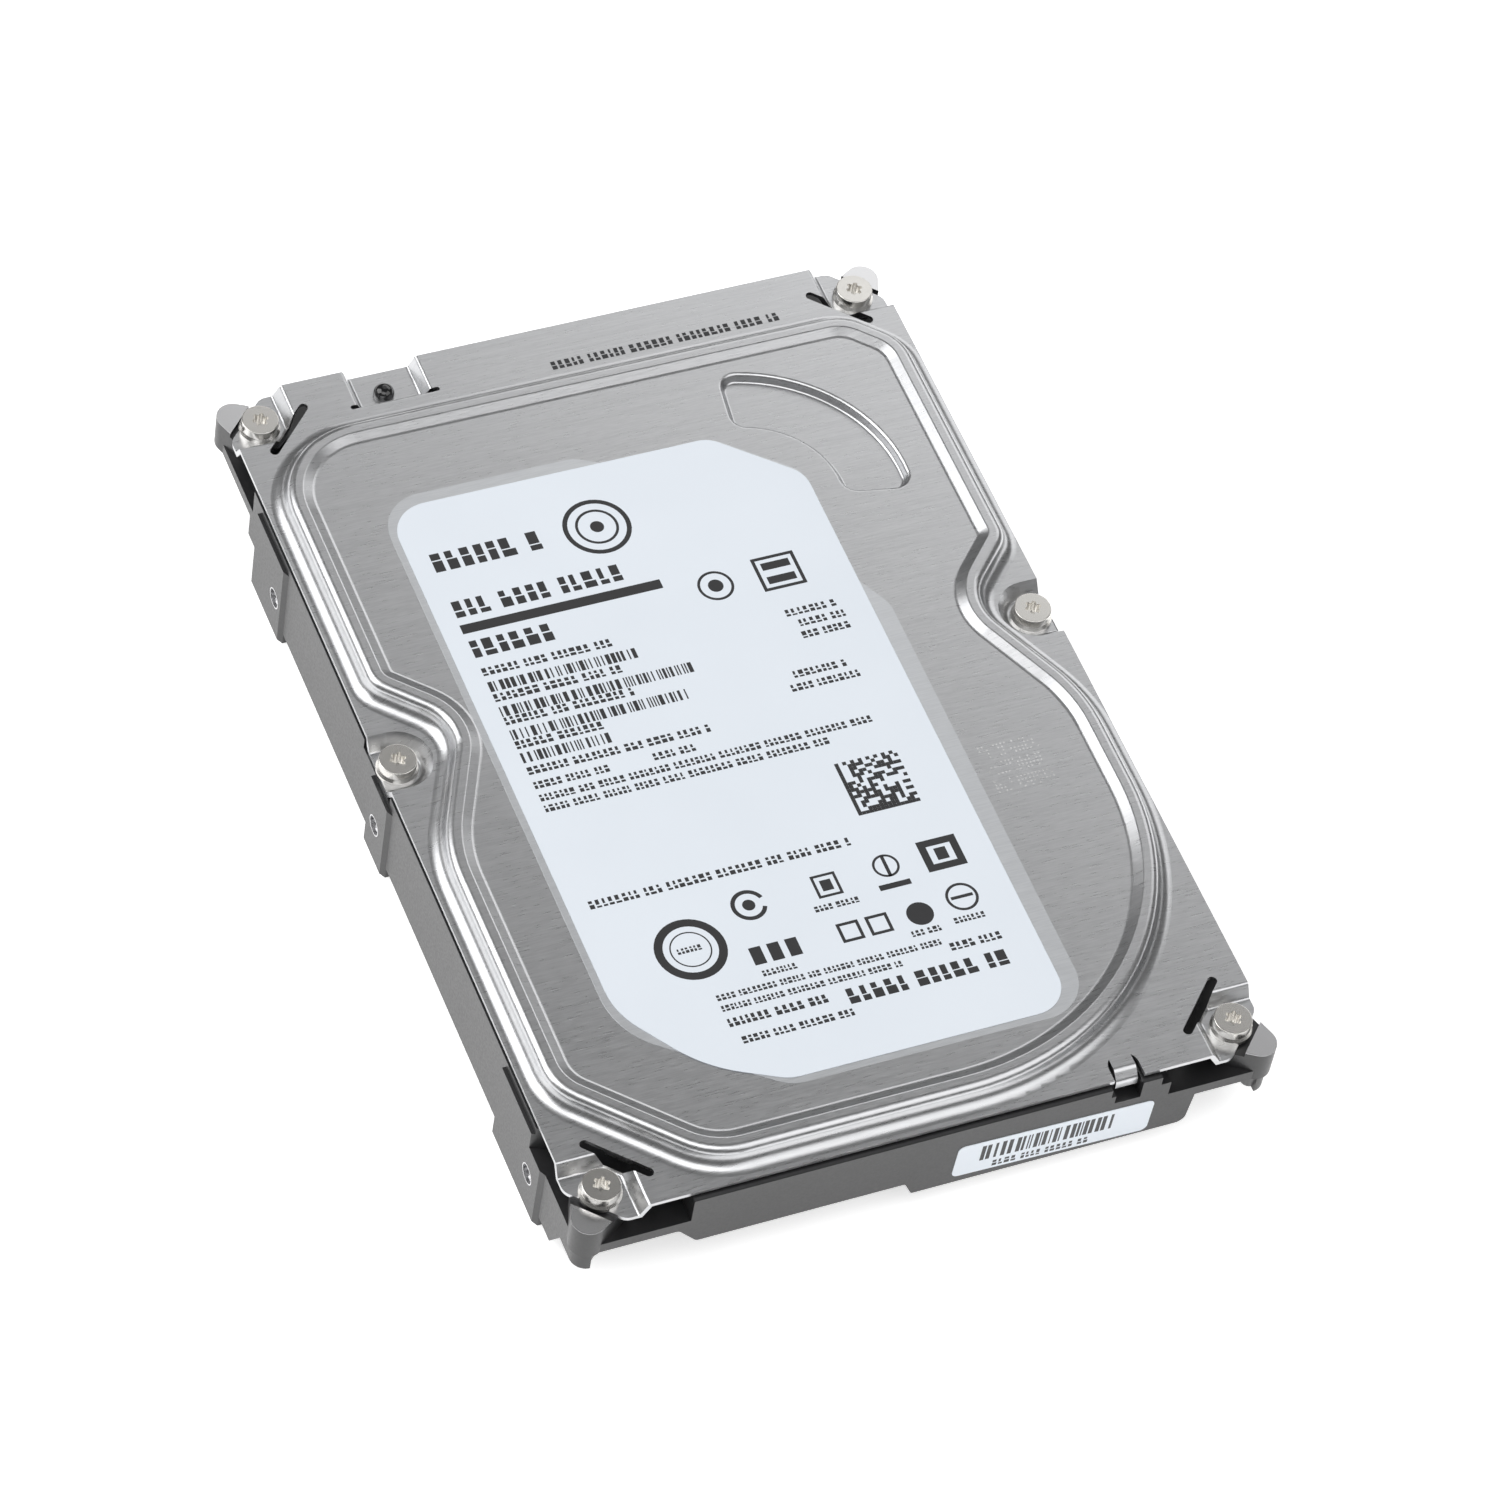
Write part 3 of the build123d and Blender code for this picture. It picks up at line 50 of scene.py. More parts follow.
# ---------------------------------------------------------------- material helpers
class Shade:
    """A node material built step by step. Lengths are in metres in the frame of the part."""

    def __init__(self, name):
        self.material = bpy.data.materials.new(name)
        self.material.use_nodes = True
        self.tree = self.material.node_tree
        self.shader = self.tree.nodes["Principled BSDF"]
        self.place = self.tree.nodes.new("ShaderNodeTexCoord").outputs["Object"]
        split = self.add("ShaderNodeSeparateXYZ")
        self.link(self.place, split.inputs[0])
        self.x, self.y, self.z = split.outputs

    def add(self, kind):
        return self.tree.nodes.new(kind)

    def link(self, source, target):
        if isinstance(source, (int, float)):
            target.default_value = source
        else:
            self.tree.links.new(source, target)

    def math(self, operation, first, second=0.0):
        node = self.add("ShaderNodeMath")
        node.operation = operation
        self.link(first, node.inputs[0])
        self.link(second, node.inputs[1])
        return node.outputs[0]

    def distance(self, first, second):
        """The distance from an axis, from two offsets across it."""
        squares = [self.math("MULTIPLY", offset, offset) for offset in (first, second)]
        return self.math("SQRT", self.math("ADD", *squares))

    def noise(self, scale, detail=3.0, rough=0.5):
        """Noise with its own scale along each axis, in cells per metre."""
        mapping = self.add("ShaderNodeMapping")
        mapping.inputs["Scale"].default_value = scale if isinstance(scale, tuple) else (scale,) * 3
        self.link(self.place, mapping.inputs["Vector"])
        noise = self.add("ShaderNodeTexNoise")
        noise.inputs["Scale"].default_value = 1.0
        noise.inputs["Detail"].default_value = detail
        noise.inputs["Roughness"].default_value = rough
        self.link(mapping.outputs[0], noise.inputs["Vector"])
        return noise.outputs["Fac"]

    def spread(self, value, low, high, start=0.3, end=0.7):
        """Carries a value from the span start..end over to low..high."""
        node = self.add("ShaderNodeMapRange")
        self.link(value, node.inputs["Value"])
        limits = {"From Min": start, "From Max": end, "To Min": low, "To Max": high}
        for name, number in limits.items():
            node.inputs[name].default_value = number
        return node.outputs[0]

    def blend(self, factor, first, second):
        """Mixes two colours. Each is a tuple or an output."""
        node = self.add("ShaderNodeMix")
        node.data_type = "RGBA"
        self.link(factor, node.inputs["Factor"])
        for source, socket in ((first, node.inputs[6]), (second, node.inputs[7])):
            if isinstance(source, tuple):
                socket.default_value = (*source, 1.0)
            else:
                self.link(source, socket)
        return node.outputs[2]

    def set(self, **values):
        for name, value in values.items():
            socket = self.shader.inputs[name.replace("_", " ")]
            if isinstance(value, tuple):
                socket.default_value = (*value, 1.0)
            else:
                self.link(value, socket)
        return self

    def bump(self, *heights):
        """Adds relief. Each height is (value, depth in metres)."""
        normal = None
        for value, depth in heights:
            node = self.add("ShaderNodeBump")
            node.inputs["Distance"].default_value = depth
            self.link(value, node.inputs["Height"])
            if normal:
                self.link(normal, node.inputs["Normal"])
            normal = node.outputs[0]
        self.link(normal, self.shader.inputs["Normal"])
        return self


def metal(name, colour, rough, grain, depth=4e-6, tint=0.12, uneven=0.2):
    """Plain metal with a fine grain, a slow change of tone and an uneven sheen."""
    s = Shade(name)
    fine = s.noise(grain, 2.0)
    slow = s.noise(90.0, 3.0)
    darker = tuple(channel * (1 - tint) for channel in colour)
    s.set(Metallic=1.0, Base_Color=s.blend(s.spread(slow, 0.0, 1.0), darker, colour))
    s.set(Roughness=s.spread(fine, rough * (1 - uneven), rough * (1 + uneven)))
    return s.bump((fine, depth)).material


def moulded(name, colour, rough, grain=6000.0, depth=6e-6, coat=0.0, tint=0.2):
    """Plastic, rubber, paint or epoxy with a fine skin texture and faint cloudiness."""
    s = Shade(name)
    fine = s.noise(grain, 3.0)
    slow = s.noise(160.0, 3.0)
    darker = tuple(channel * (1 - tint) for channel in colour)
    s.set(Base_Color=s.blend(s.spread(slow, 0.0, 1.0), darker, colour), Coat_Weight=coat)
    s.set(Roughness=s.spread(fine, rough * 0.85, min(1.0, rough * 1.15)))
    return s.bump((fine, depth)).material


# ---------------------------------------------------------------- materials
def brushed_cover():
    s = Shade("brushed_cover_steel")
    streak = s.noise((420.0, 5200.0, 900.0), 2.0, 0.6)
    long_streak = s.noise((40.0, 2200.0, 300.0), 2.0)
    slow = s.noise(45.0, 2.0)
    tone = s.math("ADD", s.math("MULTIPLY", streak, 0.65), s.math("MULTIPLY", long_streak, 0.35))
    brushed = s.blend(s.spread(tone, 0.0, 1.0, 0.38, 0.62), (0.54, 0.545, 0.555), (0.62, 0.625, 0.635))
    s.set(Metallic=1.0, Base_Color=s.blend(s.spread(slow, 0.0, 0.25), brushed, (0.56, 0.565, 0.58)))
    s.set(Roughness=s.spread(streak, 0.27, 0.33))
    return s.bump((streak, 7e-6), (long_streak, 1e-6)).material


SIDE_HOLE_YS, SIDE_HOLE_Z, SIDE_MOUTH = (-56.6, 3.39, 45.0), 6.35, 50.79
BOTTOM_HOLE_YS, BOTTOM_HOLE_X = (-43.98, -12.23, 32.22), 47.625
SIDE_BORE_END, BOTTOM_BORE_TOP = 45.4, 4.7
EAR_TOP, EAR_LINE, FLAT_BAND = 15.35, 116.5, 0.03
MOUTH_R, THREAD_R, THREAD_PITCH, THREAD_RUN = 1.6, 1.42, 0.794, 4.2


def black_casting():
    """Satin black coating, with bare metal on the corner posts and round the tapped holes."""
    s = Shade("black_casting_coat")
    fine = s.noise(2600.0, 4.0, 0.6)
    skin = s.noise(700.0, 3.0)
    slow = s.noise(60.0, 3.0)
    coat = s.blend(s.spread(slow, 0.0, 1.0), (0.012, 0.012, 0.013), (0.020, 0.020, 0.021))
    across = s.math("ABSOLUTE", s.x)
    bare = s.math("LESS_THAN", s.math("ABSOLUTE", s.math("SUBTRACT", s.z, EAR_TOP * MM)), FLAT_BAND * MM)
    corner = s.math("GREATER_THAN", s.math("ADD", across, s.math("ABSOLUTE", s.y)), EAR_LINE * MM)
    bare = s.math("MULTIPLY", bare, corner)
    for hole_y in SIDE_HOLE_YS:
        up = s.math("SUBTRACT", s.z, SIDE_HOLE_Z * MM)
        along = s.math("SUBTRACT", s.y, hole_y * MM)
        in_bore = s.math("LESS_THAN", s.distance(up, along), MOUTH_R * MM)
        outside = s.math("GREATER_THAN", across, SIDE_BORE_END * MM)
        bare = s.math("MAXIMUM", bare, s.math("MULTIPLY", in_bore, outside))
    for hole_y in BOTTOM_HOLE_YS:
        side = s.math("SUBTRACT", across, BOTTOM_HOLE_X * MM)
        along = s.math("SUBTRACT", s.y, hole_y * MM)
        in_bore = s.math("LESS_THAN", s.distance(side, along), MOUTH_R * MM)
        below = s.math("LESS_THAN", s.z, BOTTOM_BORE_TOP * MM)
        bare = s.math("MAXIMUM", bare, s.math("MULTIPLY", in_bore, below))
    s.set(Base_Color=s.blend(bare, coat, (0.72, 0.72, 0.73)), Metallic=bare)
    painted = s.spread(fine, 0.30, 0.42)
    coated = s.math("SUBTRACT", 1.0, s.math("MULTIPLY", bare, 0.96))
    sheen = s.math("ADD", s.math("MULTIPLY", painted, coated), s.math("MULTIPLY", bare, 0.24))
    s.set(Roughness=sheen, Specular_IOR_Level=0.7)
    return s.bump((s.math("MULTIPLY", fine, coated), 3e-6), (s.math("MULTIPLY", skin, coated), 6e-6)).material


def printed_label(name, colour, edge):
    s = Shade(name)
    fibre = s.noise((900.0, 2400.0, 900.0), 4.0)
    slow = s.noise(50.0, 2.0)
    s.set(Base_Color=s.blend(s.spread(slow, 0.0, 1.0), edge, colour))
    s.set(Roughness=s.spread(fibre, 0.32, 0.46), Coat_Weight=0.15, Coat_Roughness=0.25)
    return s.bump((fibre, 3e-6)).material


def grey_film():
    s = Shade("label_edge_film")
    streak = s.noise((300.0, 5000.0, 400.0), 2.0)
    s.set(Base_Color=s.blend(s.spread(streak, 0.0, 1.0), (0.60, 0.615, 0.635), (0.66, 0.675, 0.695)))
    s.set(Metallic=0.7, Roughness=s.spread(streak, 0.30, 0.36), Coat_Weight=0.3, Coat_Roughness=0.1)
    return s.bump((streak, 1e-6)).material


def solder_mask():
    """Green lacquer over copper: planes, and a slight relief where tracks run."""
    s = Shade("green_solder_mask")
    weave = s.noise((2100.0, 2100.0, 2100.0), 2.0)
    cells = s.add("ShaderNodeTexVoronoi")
    cells.feature = "DISTANCE_TO_EDGE"
    cells.distance = "CHEBYCHEV"
    cells.inputs["Scale"].default_value = 260.0
    s.link(s.place, cells.inputs["Vector"])
    track = s.math("LESS_THAN", cells.outputs["Distance"], 0.06)
    s.set(Base_Color=s.blend(track, (0.012, 0.085, 0.045), (0.03, 0.17, 0.085)))
    s.set(Roughness=s.spread(weave, 0.26, 0.4), Coat_Weight=0.4, Coat_Roughness=0.15)
    return s.bump((weave, 6e-6), (track, 1.5e-5)).material


def wound_copper(name, pitch):
    s = Shade(name)
    turns = s.math("SINE", s.math("MULTIPLY", s.distance(s.x, s.y), 2 * pi / pitch))
    fine = s.noise(2500.0, 2.0)
    # Each wire turn is coloured dark in the groove between turns and bright on its crown, in step with the
    # turn relief: painted shade in the grooves and a painted highlight on the crowns.
    s.set(Base_Color=s.blend(s.spread(turns, 0.0, 1.0, -1.0, 1.0), (0.42, 0.15, 0.06), (0.78, 0.36, 0.17)))
    s.set(Metallic=0.9, Roughness=s.spread(fine, 0.28, 0.42))
    return s.bump((turns, 3e-5)).material


def polished_disk():
    s = Shade("polished_disk")
    haze = s.noise((40.0, 40.0, 900.0), 2.0)
    s.set(Metallic=1.0, Base_Color=s.blend(s.spread(haze, 0.0, 1.0), (0.80, 0.81, 0.82), (0.86, 0.87, 0.88)))
    s.set(Roughness=s.spread(haze, 0.03, 0.06))
    return s.material


def felt(name, colour):
    s = Shade(name)
    fibre = s.noise(5200.0, 6.0, 0.7)
    clump = s.noise(900.0, 4.0)
    darker = tuple(channel * 0.72 for channel in colour)
    s.set(Base_Color=s.blend(s.spread(fibre, 0.0, 1.0), darker, colour), Roughness=0.92, Sheen_Weight=0.3)
    return s.bump((fibre, 6e-5), (clump, 1.2e-4)).material


def amber_film():
    s = Shade("amber_flex_film")
    lanes = s.math("SINE", s.math("MULTIPLY", s.z, 2 * pi / (0.5 * MM)))
    lane = s.math("GREATER_THAN", lanes, 0.1)
    fine = s.noise(3000.0, 2.0)
    s.set(Base_Color=s.blend(lane, (0.30, 0.11, 0.02), (0.55, 0.27, 0.06)), Coat_Weight=0.3)
    s.set(Roughness=s.spread(fine, 0.22, 0.34))
    return s.bump((lane, 1e-5)).material


screw_nickel = metal("screw_nickel", (0.70, 0.685, 0.655), 0.25, 900.0, 1e-7, 0.06, 0.04)
ink = moulded("label_ink", (0.028, 0.028, 0.030), 0.42, 3000.0, 2e-6)
LOOKS = {
    "casting": black_casting(),
    "cover_steel": brushed_cover(),
    "screw_steel": screw_nickel,
    "dark_steel": metal("bearing_steel", (0.47, 0.47, 0.49), 0.22, 2400.0),
    "bare_aluminium": metal("machined_aluminium", (0.74, 0.745, 0.76), 0.3, (700.0, 4200.0, 4200.0), 8e-6),
    "disk_coating": polished_disk(),
    "nickel": metal("plated_nickel", (0.60, 0.585, 0.55), 0.2, 1800.0),
    "copper": wound_copper("wound_copper", 0.2 * MM),
    "bronze": metal("sintered_bronze", (0.60, 0.40, 0.20), 0.42, 3200.0, 1.2e-5, 0.25),
    "gold": metal("gold_plating", (0.86, 0.62, 0.26), 0.2, 2600.0),
    "black_plastic": moulded("black_moulding", (0.026, 0.026, 0.028), 0.46, 4200.0, 1.2e-5),
    "vent_black": moulded("gloss_black_plug", (0.008, 0.008, 0.009), 0.12, 900.0, 3e-6, 0.5),
    "cream_plastic": moulded("cream_moulding", (0.64, 0.60, 0.50), 0.5, 3600.0, 1e-5),
    "rubber": moulded("black_rubber", (0.03, 0.03, 0.03), 0.75, 2600.0, 3e-5),
    "label_paper": printed_label("label_white", (0.77, 0.82, 0.88), (0.75, 0.80, 0.86)),
    "clear_film": grey_film(),
    "board_green": solder_mask(),
    "chip_black": moulded("chip_epoxy", (0.035, 0.035, 0.037), 0.55, 5200.0, 1.5e-5),
    "foam": felt("grey_foam", (0.10, 0.10, 0.11)),
    "filter_white": felt("white_felt", (0.80, 0.80, 0.77)),
    "polyimide": amber_film(),
}
slot_of = {entry["node"]: entry["material_slot"] for entry in frame["record"]["subparts"]}
for node_name, node in nodes.items():
    look = LOOKS[slot_of[node_name]]
    if not node.material_slots:
        node.data.materials.append(look)
    for index in range(len(node.material_slots)):
        node.material_slots[index].material = look


# ---------------------------------------------------------------- printed and peened marks
class Marks:
    """A flat layer of thin raised marks on a plane. Marks are drawn in millimetres."""

    def __init__(self, name, origin, right, up, thickness):
        self.name, self.thickness = name, thickness
        self.origin = Vector(origin)
        self.right, self.up = Vector(right).normalized(), Vector(up).normalized()
        self.out = self.right.cross(self.up)
        self.mesh = bmesh.new()

    def at(self, x, y, lift=0.0):
        return self.origin + self.right * (x * MM) + self.up * (y * MM) + self.out * lift

    def outline(self, points):
        low = [self.mesh.verts.new(self.at(x, y)) for x, y in points]
        high = [self.mesh.verts.new(self.at(x, y, self.thickness)) for x, y in points]
        self.mesh.faces.new(high)
        self.mesh.faces.new(low[::-1])
        for index in range(len(points)):
            after = (index + 1) % len(points)
            self.mesh.faces.new((low[index], low[after], high[after], high[index]))

    def block(self, left, bottom, width, height):
        right, top = left + width, bottom + height
        self.outline([(left, bottom), (right, bottom), (right, top), (left, top)])

    def ring(self, x, y, outer, inner, start=0.0, sweep=360.0, steps=40):
        for index in range(steps):
            first = radians(start + sweep * index / steps)
            second = radians(start + sweep * (index + 1) / steps)
            corners = [(inner, first), (outer, first), (outer, second), (inner, second)]
            self.outline([(x + reach * cos(angle), y + reach * sin(angle)) for reach, angle in corners])

    def disc(self, x, y, reach, steps=28):
        turns = [2 * pi * index / steps for index in range(steps)]
        self.outline([(x + reach * cos(turn), y + reach * sin(turn)) for turn in turns])

    def frame(self, left, bottom, width, height, line):
        self.block(left, bottom, width, line)
        self.block(left, bottom + height - line, width, line)
        self.block(left, bottom + line, line, height - 2 * line)
        self.block(left + width - line, bottom + line, line, height - 2 * line)

    def words(self, left, bottom, right, height, weight=0.62):
        """A line of plain stand-in blocks in word-like groups. Nothing is spelled."""
        x = left
        letters_left = random.randint(3, 8)
        while x < right - height * 0.4:
            width = height * random.uniform(0.36, 0.62)
            cut = height * random.uniform(0.3, 0.62)
            line = height * (1 - weight) * 0.42
            self.block(x, bottom, width, cut - line / 2)
            self.block(x, bottom + cut + line / 2, width * random.uniform(0.55, 1.0), height - cut - line / 2)
            x += width + height * 0.2
            letters_left -= 1
            if letters_left == 0:
                x += height * 0.42
                letters_left = random.randint(3, 8)

    def bars(self, left, bottom, right, height):
        x = left
        while x < right:
            width = random.choice((0.2, 0.2, 0.4, 0.6))
            self.block(x, bottom, width, height)
            x += width + random.choice((0.22, 0.22, 0.4, 0.6))

    def finish(self, look, body="base"):
        data = bpy.data.meshes.new(self.name)
        self.mesh.to_mesh(data)
        self.mesh.free()
        piece = bpy.data.objects.new(self.name, data)
        bpy.context.scene.collection.objects.link(piece)
        data.materials.append(look)
        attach(piece, body)
        return piece


label_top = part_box("top_label")[1].z
print_layer = Marks("label_print", (0, 0, label_top), (1, 0, 0), (0, 1, 0), 0.012 * MM)
# heading with a plain disk pictogram
print_layer.words(-31.9, 33.2, -14.2, 3.3, 0.85)
print_layer.ring(-7.4, 34.8, 4.9, 4.2)
print_layer.ring(-7.4, 34.8, 3.1, 2.7)
print_layer.disc(-7.4, 34.8, 1.0)
print_layer.words(-31.9, 24.8, -7.2, 2.9, 0.8)
print_layer.block(-32.1, 21.9, 29.7, 1.6)
print_layer.words(-31.9, 17.5, -19.0, 3.0, 0.8)
print_layer.ring(4.8, 20.2, 2.6, 2.2)
print_layer.disc(4.8, 20.2, 1.1)
print_layer.frame(11.1, 17.2, 6.4, 6.0, 0.5)
print_layer.block(12.2, 18.3, 4.2, 1.3)
print_layer.block(12.2, 20.8, 4.2, 1.3)
barcode_rows = ((14.2, 11.3, -10.2), (9.5, 6.8, -3.4), (5.3, 2.6, -5.6), (1.0, -1.5, -18.9))
for text_at, bar_at, right in barcode_rows:
    print_layer.words(-31.9, text_at, min(right, -12.5), 1.35)
    print_layer.bars(-31.9, bar_at, right, 1.75)
print_layer.words(-31.9, -3.6, -5.0, 1.3)
print_layer.words(-31.9, -6.1, -21.0, 1.2)
print_layer.words(-14.5, -6.1, -7.5, 1.2)
print_layer.words(-31.9, -8.3, 17.0, 1.15)
print_layer.words(-31.9, -10.2, 10.5, 1.15)
right_rows = ((12.2, 12.4, 20.4), (10.1, 13.6, 20.6), (8.0, 13.2, 20.6), (1.8, 9.4, 17.2), (-0.4, 8.2, 19.4))
for text_at, left, right in right_rows:
    print_layer.words(left, text_at, right, 1.2)
CELL = 0.575
for column in range(16):
    for row in range(16):
        solid_edge = column == 0 or row == 0
        dashed_edge = (column == 15 or row == 15) and (column + row) % 2 == 1
        inside = column < 15 and row < 15 and random.random() < 0.52
        if solid_edge or dashed_edge or inside:
            print_layer.block(8.9 + column * CELL, -22.9 + row * CELL, CELL * 0.98, CELL * 0.98)
print_layer.words(-31.9, -27.2, 6.6, 1.35)
# plain round, square and bar pictograms in two rows
print_layer.ring(-11.2, -32.6, 2.5, 1.9, 20, 320)
print_layer.disc(-11.2, -32.6, 0.9)
print_layer.frame(-1.6, -34.4, 3.6, 3.8, 0.4)
print_layer.block(-0.6, -33.4, 1.6, 1.8)
print_layer.words(-2.9, -36.4, 3.6, 0.95)
print_layer.ring(9.2, -31.8, 1.9, 1.55)
print_layer.block(8.95, -33.6, 0.5, 3.4)
print_layer.block(6.9, -35.6, 4.6, 0.9)
print_layer.frame(14.5, -34.6, 5.7, 5.2, 1.1)
print_layer.block(16.5, -33.0, 1.7, 2.0)
print_layer.ring(-21.4, -37.2, 5.0, 3.8)
print_layer.ring(-21.4, -37.2, 2.9, 2.7)
print_layer.words(-23.3, -37.6, -19.4, 0.9)
for x in (-14.0, -11.4, -8.8):
    print_layer.block(x, -42.2, 1.7, 2.9)
print_layer.words(-13.6, -44.2, -8.0, 0.95)
for x in (-1.2, 3.0):
    print_layer.frame(x, -42.2, 3.2, 3.2, 0.45)
print_layer.disc(10.6, -40.6, 1.9)
print_layer.words(8.2, -44.0, 12.6, 0.95)
print_layer.ring(17.2, -39.6, 2.3, 1.9)
print_layer.block(15.6, -39.8, 3.2, 0.5)
print_layer.words(14.6, -43.6, 19.8, 0.95)
print_layer.words(-21.0, -46.2, 11.6, 0.95)
print_layer.words(-21.0, -48.0, 5.0, 0.95)
print_layer.words(12.4, -47.6, 20.4, 1.25)
print_layer.words(-21.0, -50.6, -6.0, 1.35, 0.8)
print_layer.words(-20.2, -53.6, -3.6, 1.15)
print_layer.words(-4.0, -51.8, 20.4, 2.5, 0.85)
print_layer.finish(ink)

front_low, front_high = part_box("front_label")
front_middle = (front_low + front_high) / 2
front_face = (front_middle.x, front_low.y, front_middle.z)
front_print = Marks("front_label_print", front_face, (1, 0, -0.031), (0.031, 0, 1), 0.011 * MM)
front_print.bars(-10.8, -0.9, 9.0, 3.3)
front_print.words(-8.6, -2.9, 5.4, 1.25)
front_print.finish(ink)

PLATEAU, FLANGE, SUNK = 19.3 * MM, 17.2 * MM, 0.004 * MM
peen = Marks("peened_code", (0, 0, PLATEAU - SUNK), (1, 0, 0), (0, 1, 0), 0.024 * MM)
for row in range(14):
    if row % 5 == 4:
        continue
    for column in range(16):
        if random.random() < 0.56:
            peen.disc(29.2 + column * 0.56, -24.6 + row * 0.6, 0.15, 8)
peen.finish(moulded("peened_dots", (0.62, 0.62, 0.62), 0.45, 2600.0, 1e-6))

edge_print = Marks("cover_edge_print", (0, 0, FLANGE + SUNK), (1, 0, 0), (0, 1, 0), 0.01 * MM)
edge_print.words(-2.2, 65.4, 33.0, 1.5, 0.8)
edge_print.finish(ink)


# ---------------------------------------------------------------- screw threads in the mounting holes
def add_thread(mesh, mouth, inward, aside):
    """A spiral ridge on the wall of one tapped hole."""
    across = inward.cross(aside)
    steps_per_turn, ridge = 20, 0.16
    turns = THREAD_RUN / THREAD_PITCH
    rings = []
    for step in range(int(turns * steps_per_turn) + 1):
        angle = 2 * pi * step / steps_per_turn
        depth = 0.35 + THREAD_PITCH * step / steps_per_turn
        way = aside * cos(angle) + across * sin(angle)
        fade = min(1.0, step / 8, (turns * steps_per_turn - step) / 8)
        root, crest = THREAD_R + 0.01, THREAD_R - ridge * fade
        profile = ((root, -0.3), (crest, -0.06), (crest, 0.06), (root, 0.3))
        points = [mouth + way * (reach * MM) + inward * ((depth + shift) * MM) for reach, shift in profile]
        rings.append([mesh.verts.new(point) for point in points])
    for first, second in zip(rings, rings[1:]):
        for index in range(4):
            after = (index + 1) % 4
            mesh.faces.new((first[index], first[after], second[after], second[index]))
    mesh.faces.new(rings[0][::-1])
    mesh.faces.new(rings[-1])


thread_mesh = bmesh.new()
for side in (-1, 1):
    for hole_y in SIDE_HOLE_YS:
        mouth = Vector((side * SIDE_MOUTH, hole_y, SIDE_HOLE_Z)) * MM
        add_thread(thread_mesh, mouth, Vector((-side, 0, 0)), Vector((0, 0, 1)))
    for hole_y in BOTTOM_HOLE_YS:
        mouth = Vector((side * BOTTOM_HOLE_X, hole_y, 0.02)) * MM
        add_thread(thread_mesh, mouth, Vector((0, 0, 1)), Vector((1, 0, 0)))
bmesh.ops.recalc_face_normals(thread_mesh, faces=thread_mesh.faces)
thread_data = bpy.data.meshes.new("mounting_threads")
thread_mesh.to_mesh(thread_data)
thread_mesh.free()
threads = bpy.data.objects.new("mounting_threads", thread_data)
bpy.context.scene.collection.objects.link(threads)
thread_data.materials.append(metal("thread_aluminium", (0.42, 0.42, 0.43), 0.3, 2600.0, 5e-7))
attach(threads, "base")

# ---------------------------------------------------------------- tracks and pads under the circuit board
board_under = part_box("circuit_board")[0].z + SUNK
tracks = Marks("board_tracks", (0, 0, board_under), (1, 0, 0), (0, -1, 0), 0.018 * MM)
for bundle in range(16):
    x = -40 + bundle * 5.1
    for lane in range(4):
        start = -random.uniform(26, 34) - lane * 0.5
        length = random.uniform(12, 26)
        line_x = x + lane * 0.55
        if abs(line_x) > 41 or (line_x > -1.5 and start - length < -63):
            continue
        if abs(line_x) < 3 or abs(line_x + 5.5) < 3:
            continue
        tracks.block(line_x, start - length, 0.22, length)
for row in range(7):
    y = -(29.6 + row * 4.6)
    for lane in range(2):
        left = random.uniform(-36, -4)
        tracks.block(left, y - lane * 0.5, random.uniform(8, 34), 0.22)
tracks.finish(moulded("raised_mask", (0.03, 0.20, 0.10), 0.3, 2600.0, 3e-6, 0.4))
pads = Marks("board_test_pads", (0, 0, board_under), (1, 0, 0), (0, -1, 0), 0.02 * MM)
for column in range(13):
    for row in range(5):
        if random.random() < 0.55:
            pads.disc(-37 + column * 5.6 + random.uniform(-0.8, 0.8), -(30.5 + row * 7.1), 0.5, 16)
pads.finish(LOOKS["gold"])

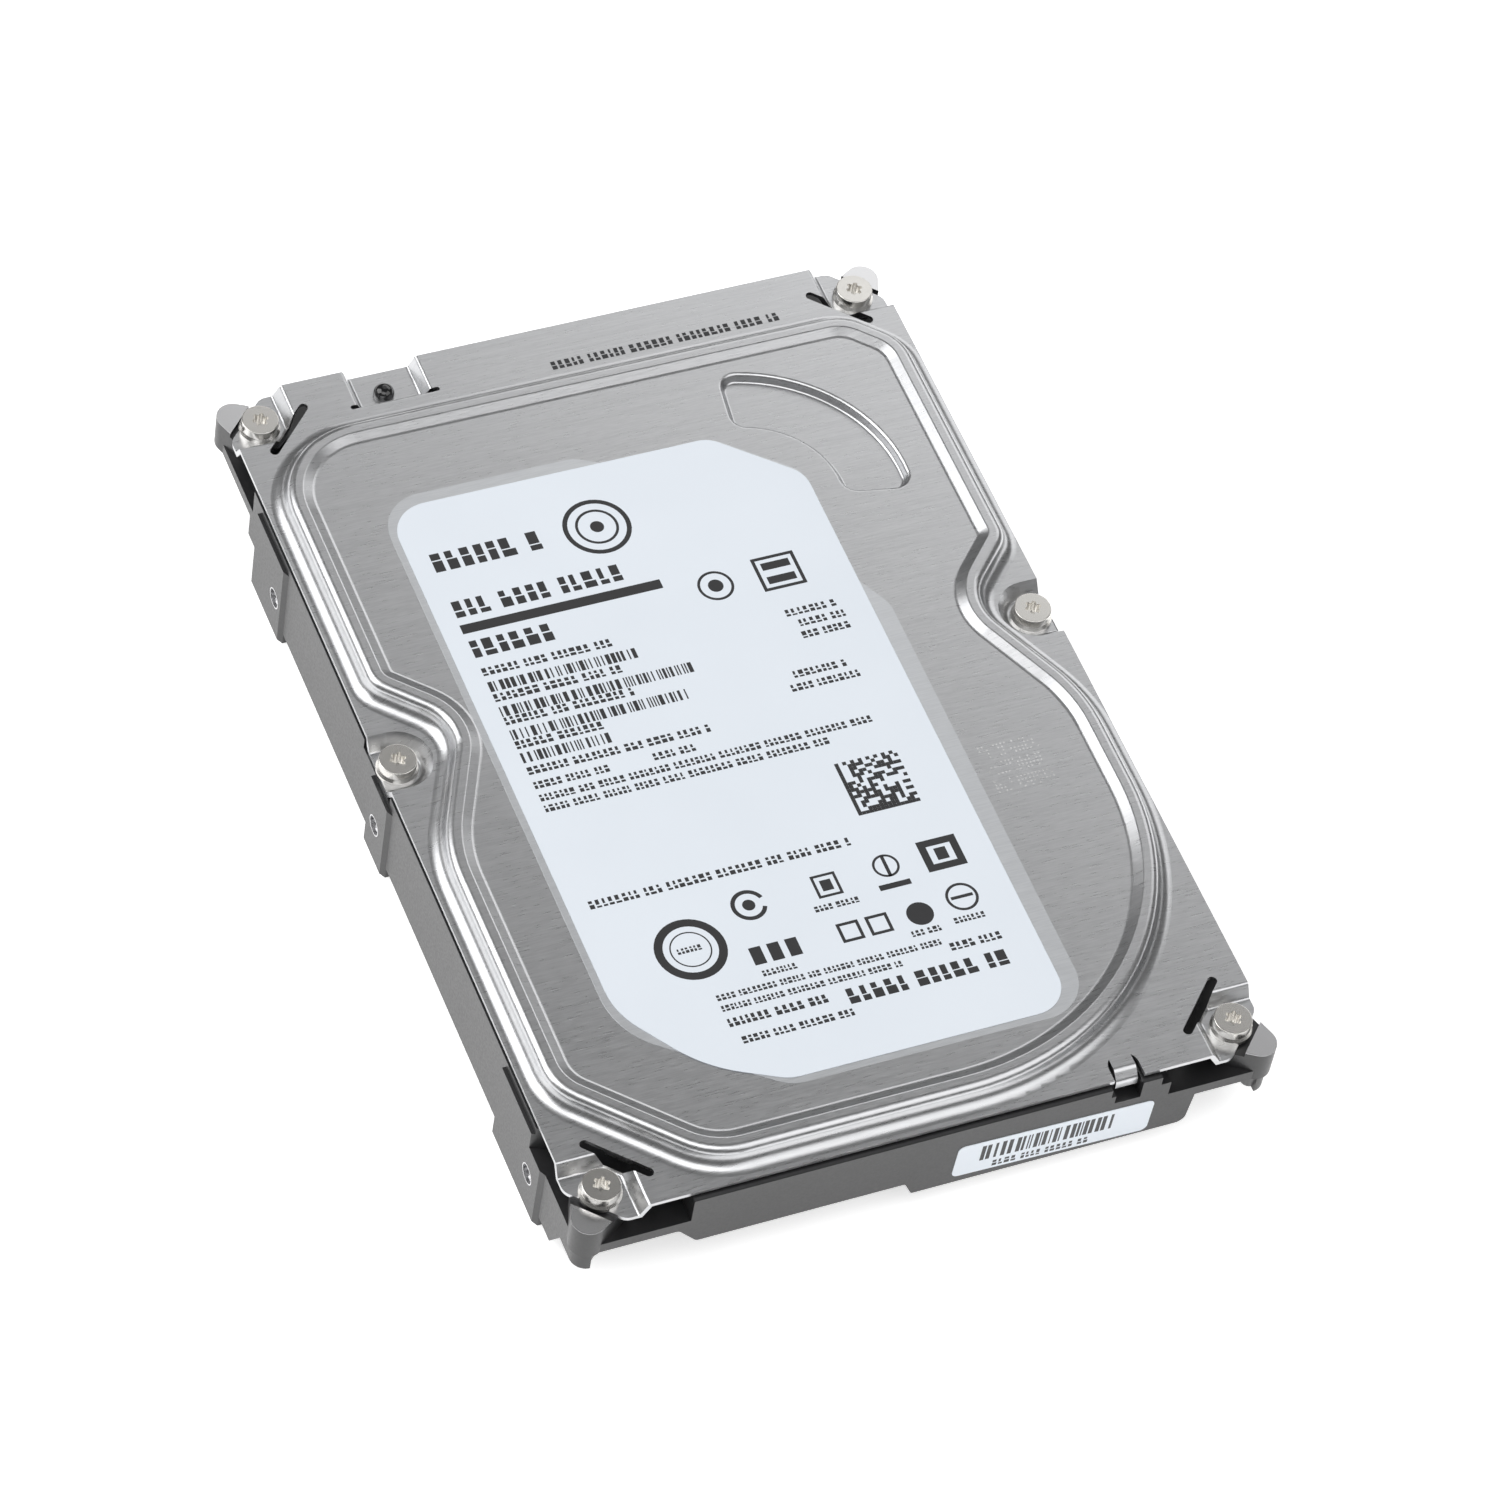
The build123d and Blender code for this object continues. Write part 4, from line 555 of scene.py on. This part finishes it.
# ---------------------------------------------------------------- stage, light and camera
floor_data = bpy.data.meshes.new("floor")
FLOOR = 6.0
floor_corners = [(-FLOOR, -FLOOR, 0), (FLOOR, -FLOOR, 0), (FLOOR, FLOOR, 0), (-FLOOR, FLOOR, 0)]
floor_data.from_pydata(floor_corners, [], [(0, 1, 2, 3)])
floor = bpy.data.objects.new("floor", floor_data)
bpy.context.scene.collection.objects.link(floor)
floor.location.z = -0.02 * MM
floor_look = Shade("pale_floor")
floor_look.set(Base_Color=(0.93, 0.93, 0.93), Roughness=0.9, Specular_IOR_Level=0.1)
floor_look.set(Emission_Color=(1.0, 1.0, 1.0), Emission_Strength=0.62)
floor_data.materials.append(floor_look.material)


def softbox(name, place, size, power, aim=(0, 0, 0.01)):
    data = bpy.data.lights.new(name, "AREA")
    data.shape = "RECTANGLE"
    data.size, data.size_y = size
    data.energy = power
    lamp = bpy.data.objects.new(name, data)
    lamp.location = place
    lamp.rotation_euler = (Vector(aim) - Vector(place)).to_track_quat("-Z", "Y").to_euler()
    bpy.context.scene.collection.objects.link(lamp)


def around(turn, lift, distance):
    """A place seen from the part at a compass turn from +X and a height above the floor, in degrees."""
    flat = distance * cos(radians(lift))
    return flat * cos(radians(turn)), flat * sin(radians(turn)), distance * sin(radians(lift))


softbox("far_softbox", around(48, 37, 2.0), (1.5, 0.9), 6.0)
softbox("left_softbox", around(150, 44, 1.3), (1.1, 1.1), 11.2)
softbox("near_softbox", around(-50, 52, 1.3), (1.2, 1.0), 5.6)
softbox("camera_side_softbox", around(-130, 66, 1.5), (0.9, 0.9), 5.6)

world = bpy.data.worlds.new("studio")
world.use_nodes = True
world.node_tree.nodes["Background"].inputs["Color"].default_value = (1.0, 1.0, 1.0, 1.0)
world.node_tree.nodes["Background"].inputs["Strength"].default_value = 0.14
bpy.context.scene.world = world
bpy.context.scene.view_settings.view_transform = "Standard"

camera_data = bpy.data.cameras.new("camera")
camera_data.sensor_width = 36.0
camera_data.lens = 159.03
camera_data.clip_end = 20.0
camera = bpy.data.objects.new("camera", camera_data)
camera.location = (-0.28510, -0.49445, 0.72822)
camera.rotation_euler = (radians(37.956), radians(-6.767), radians(-21.677))
bpy.context.scene.collection.objects.link(camera)
bpy.context.scene.camera = camera
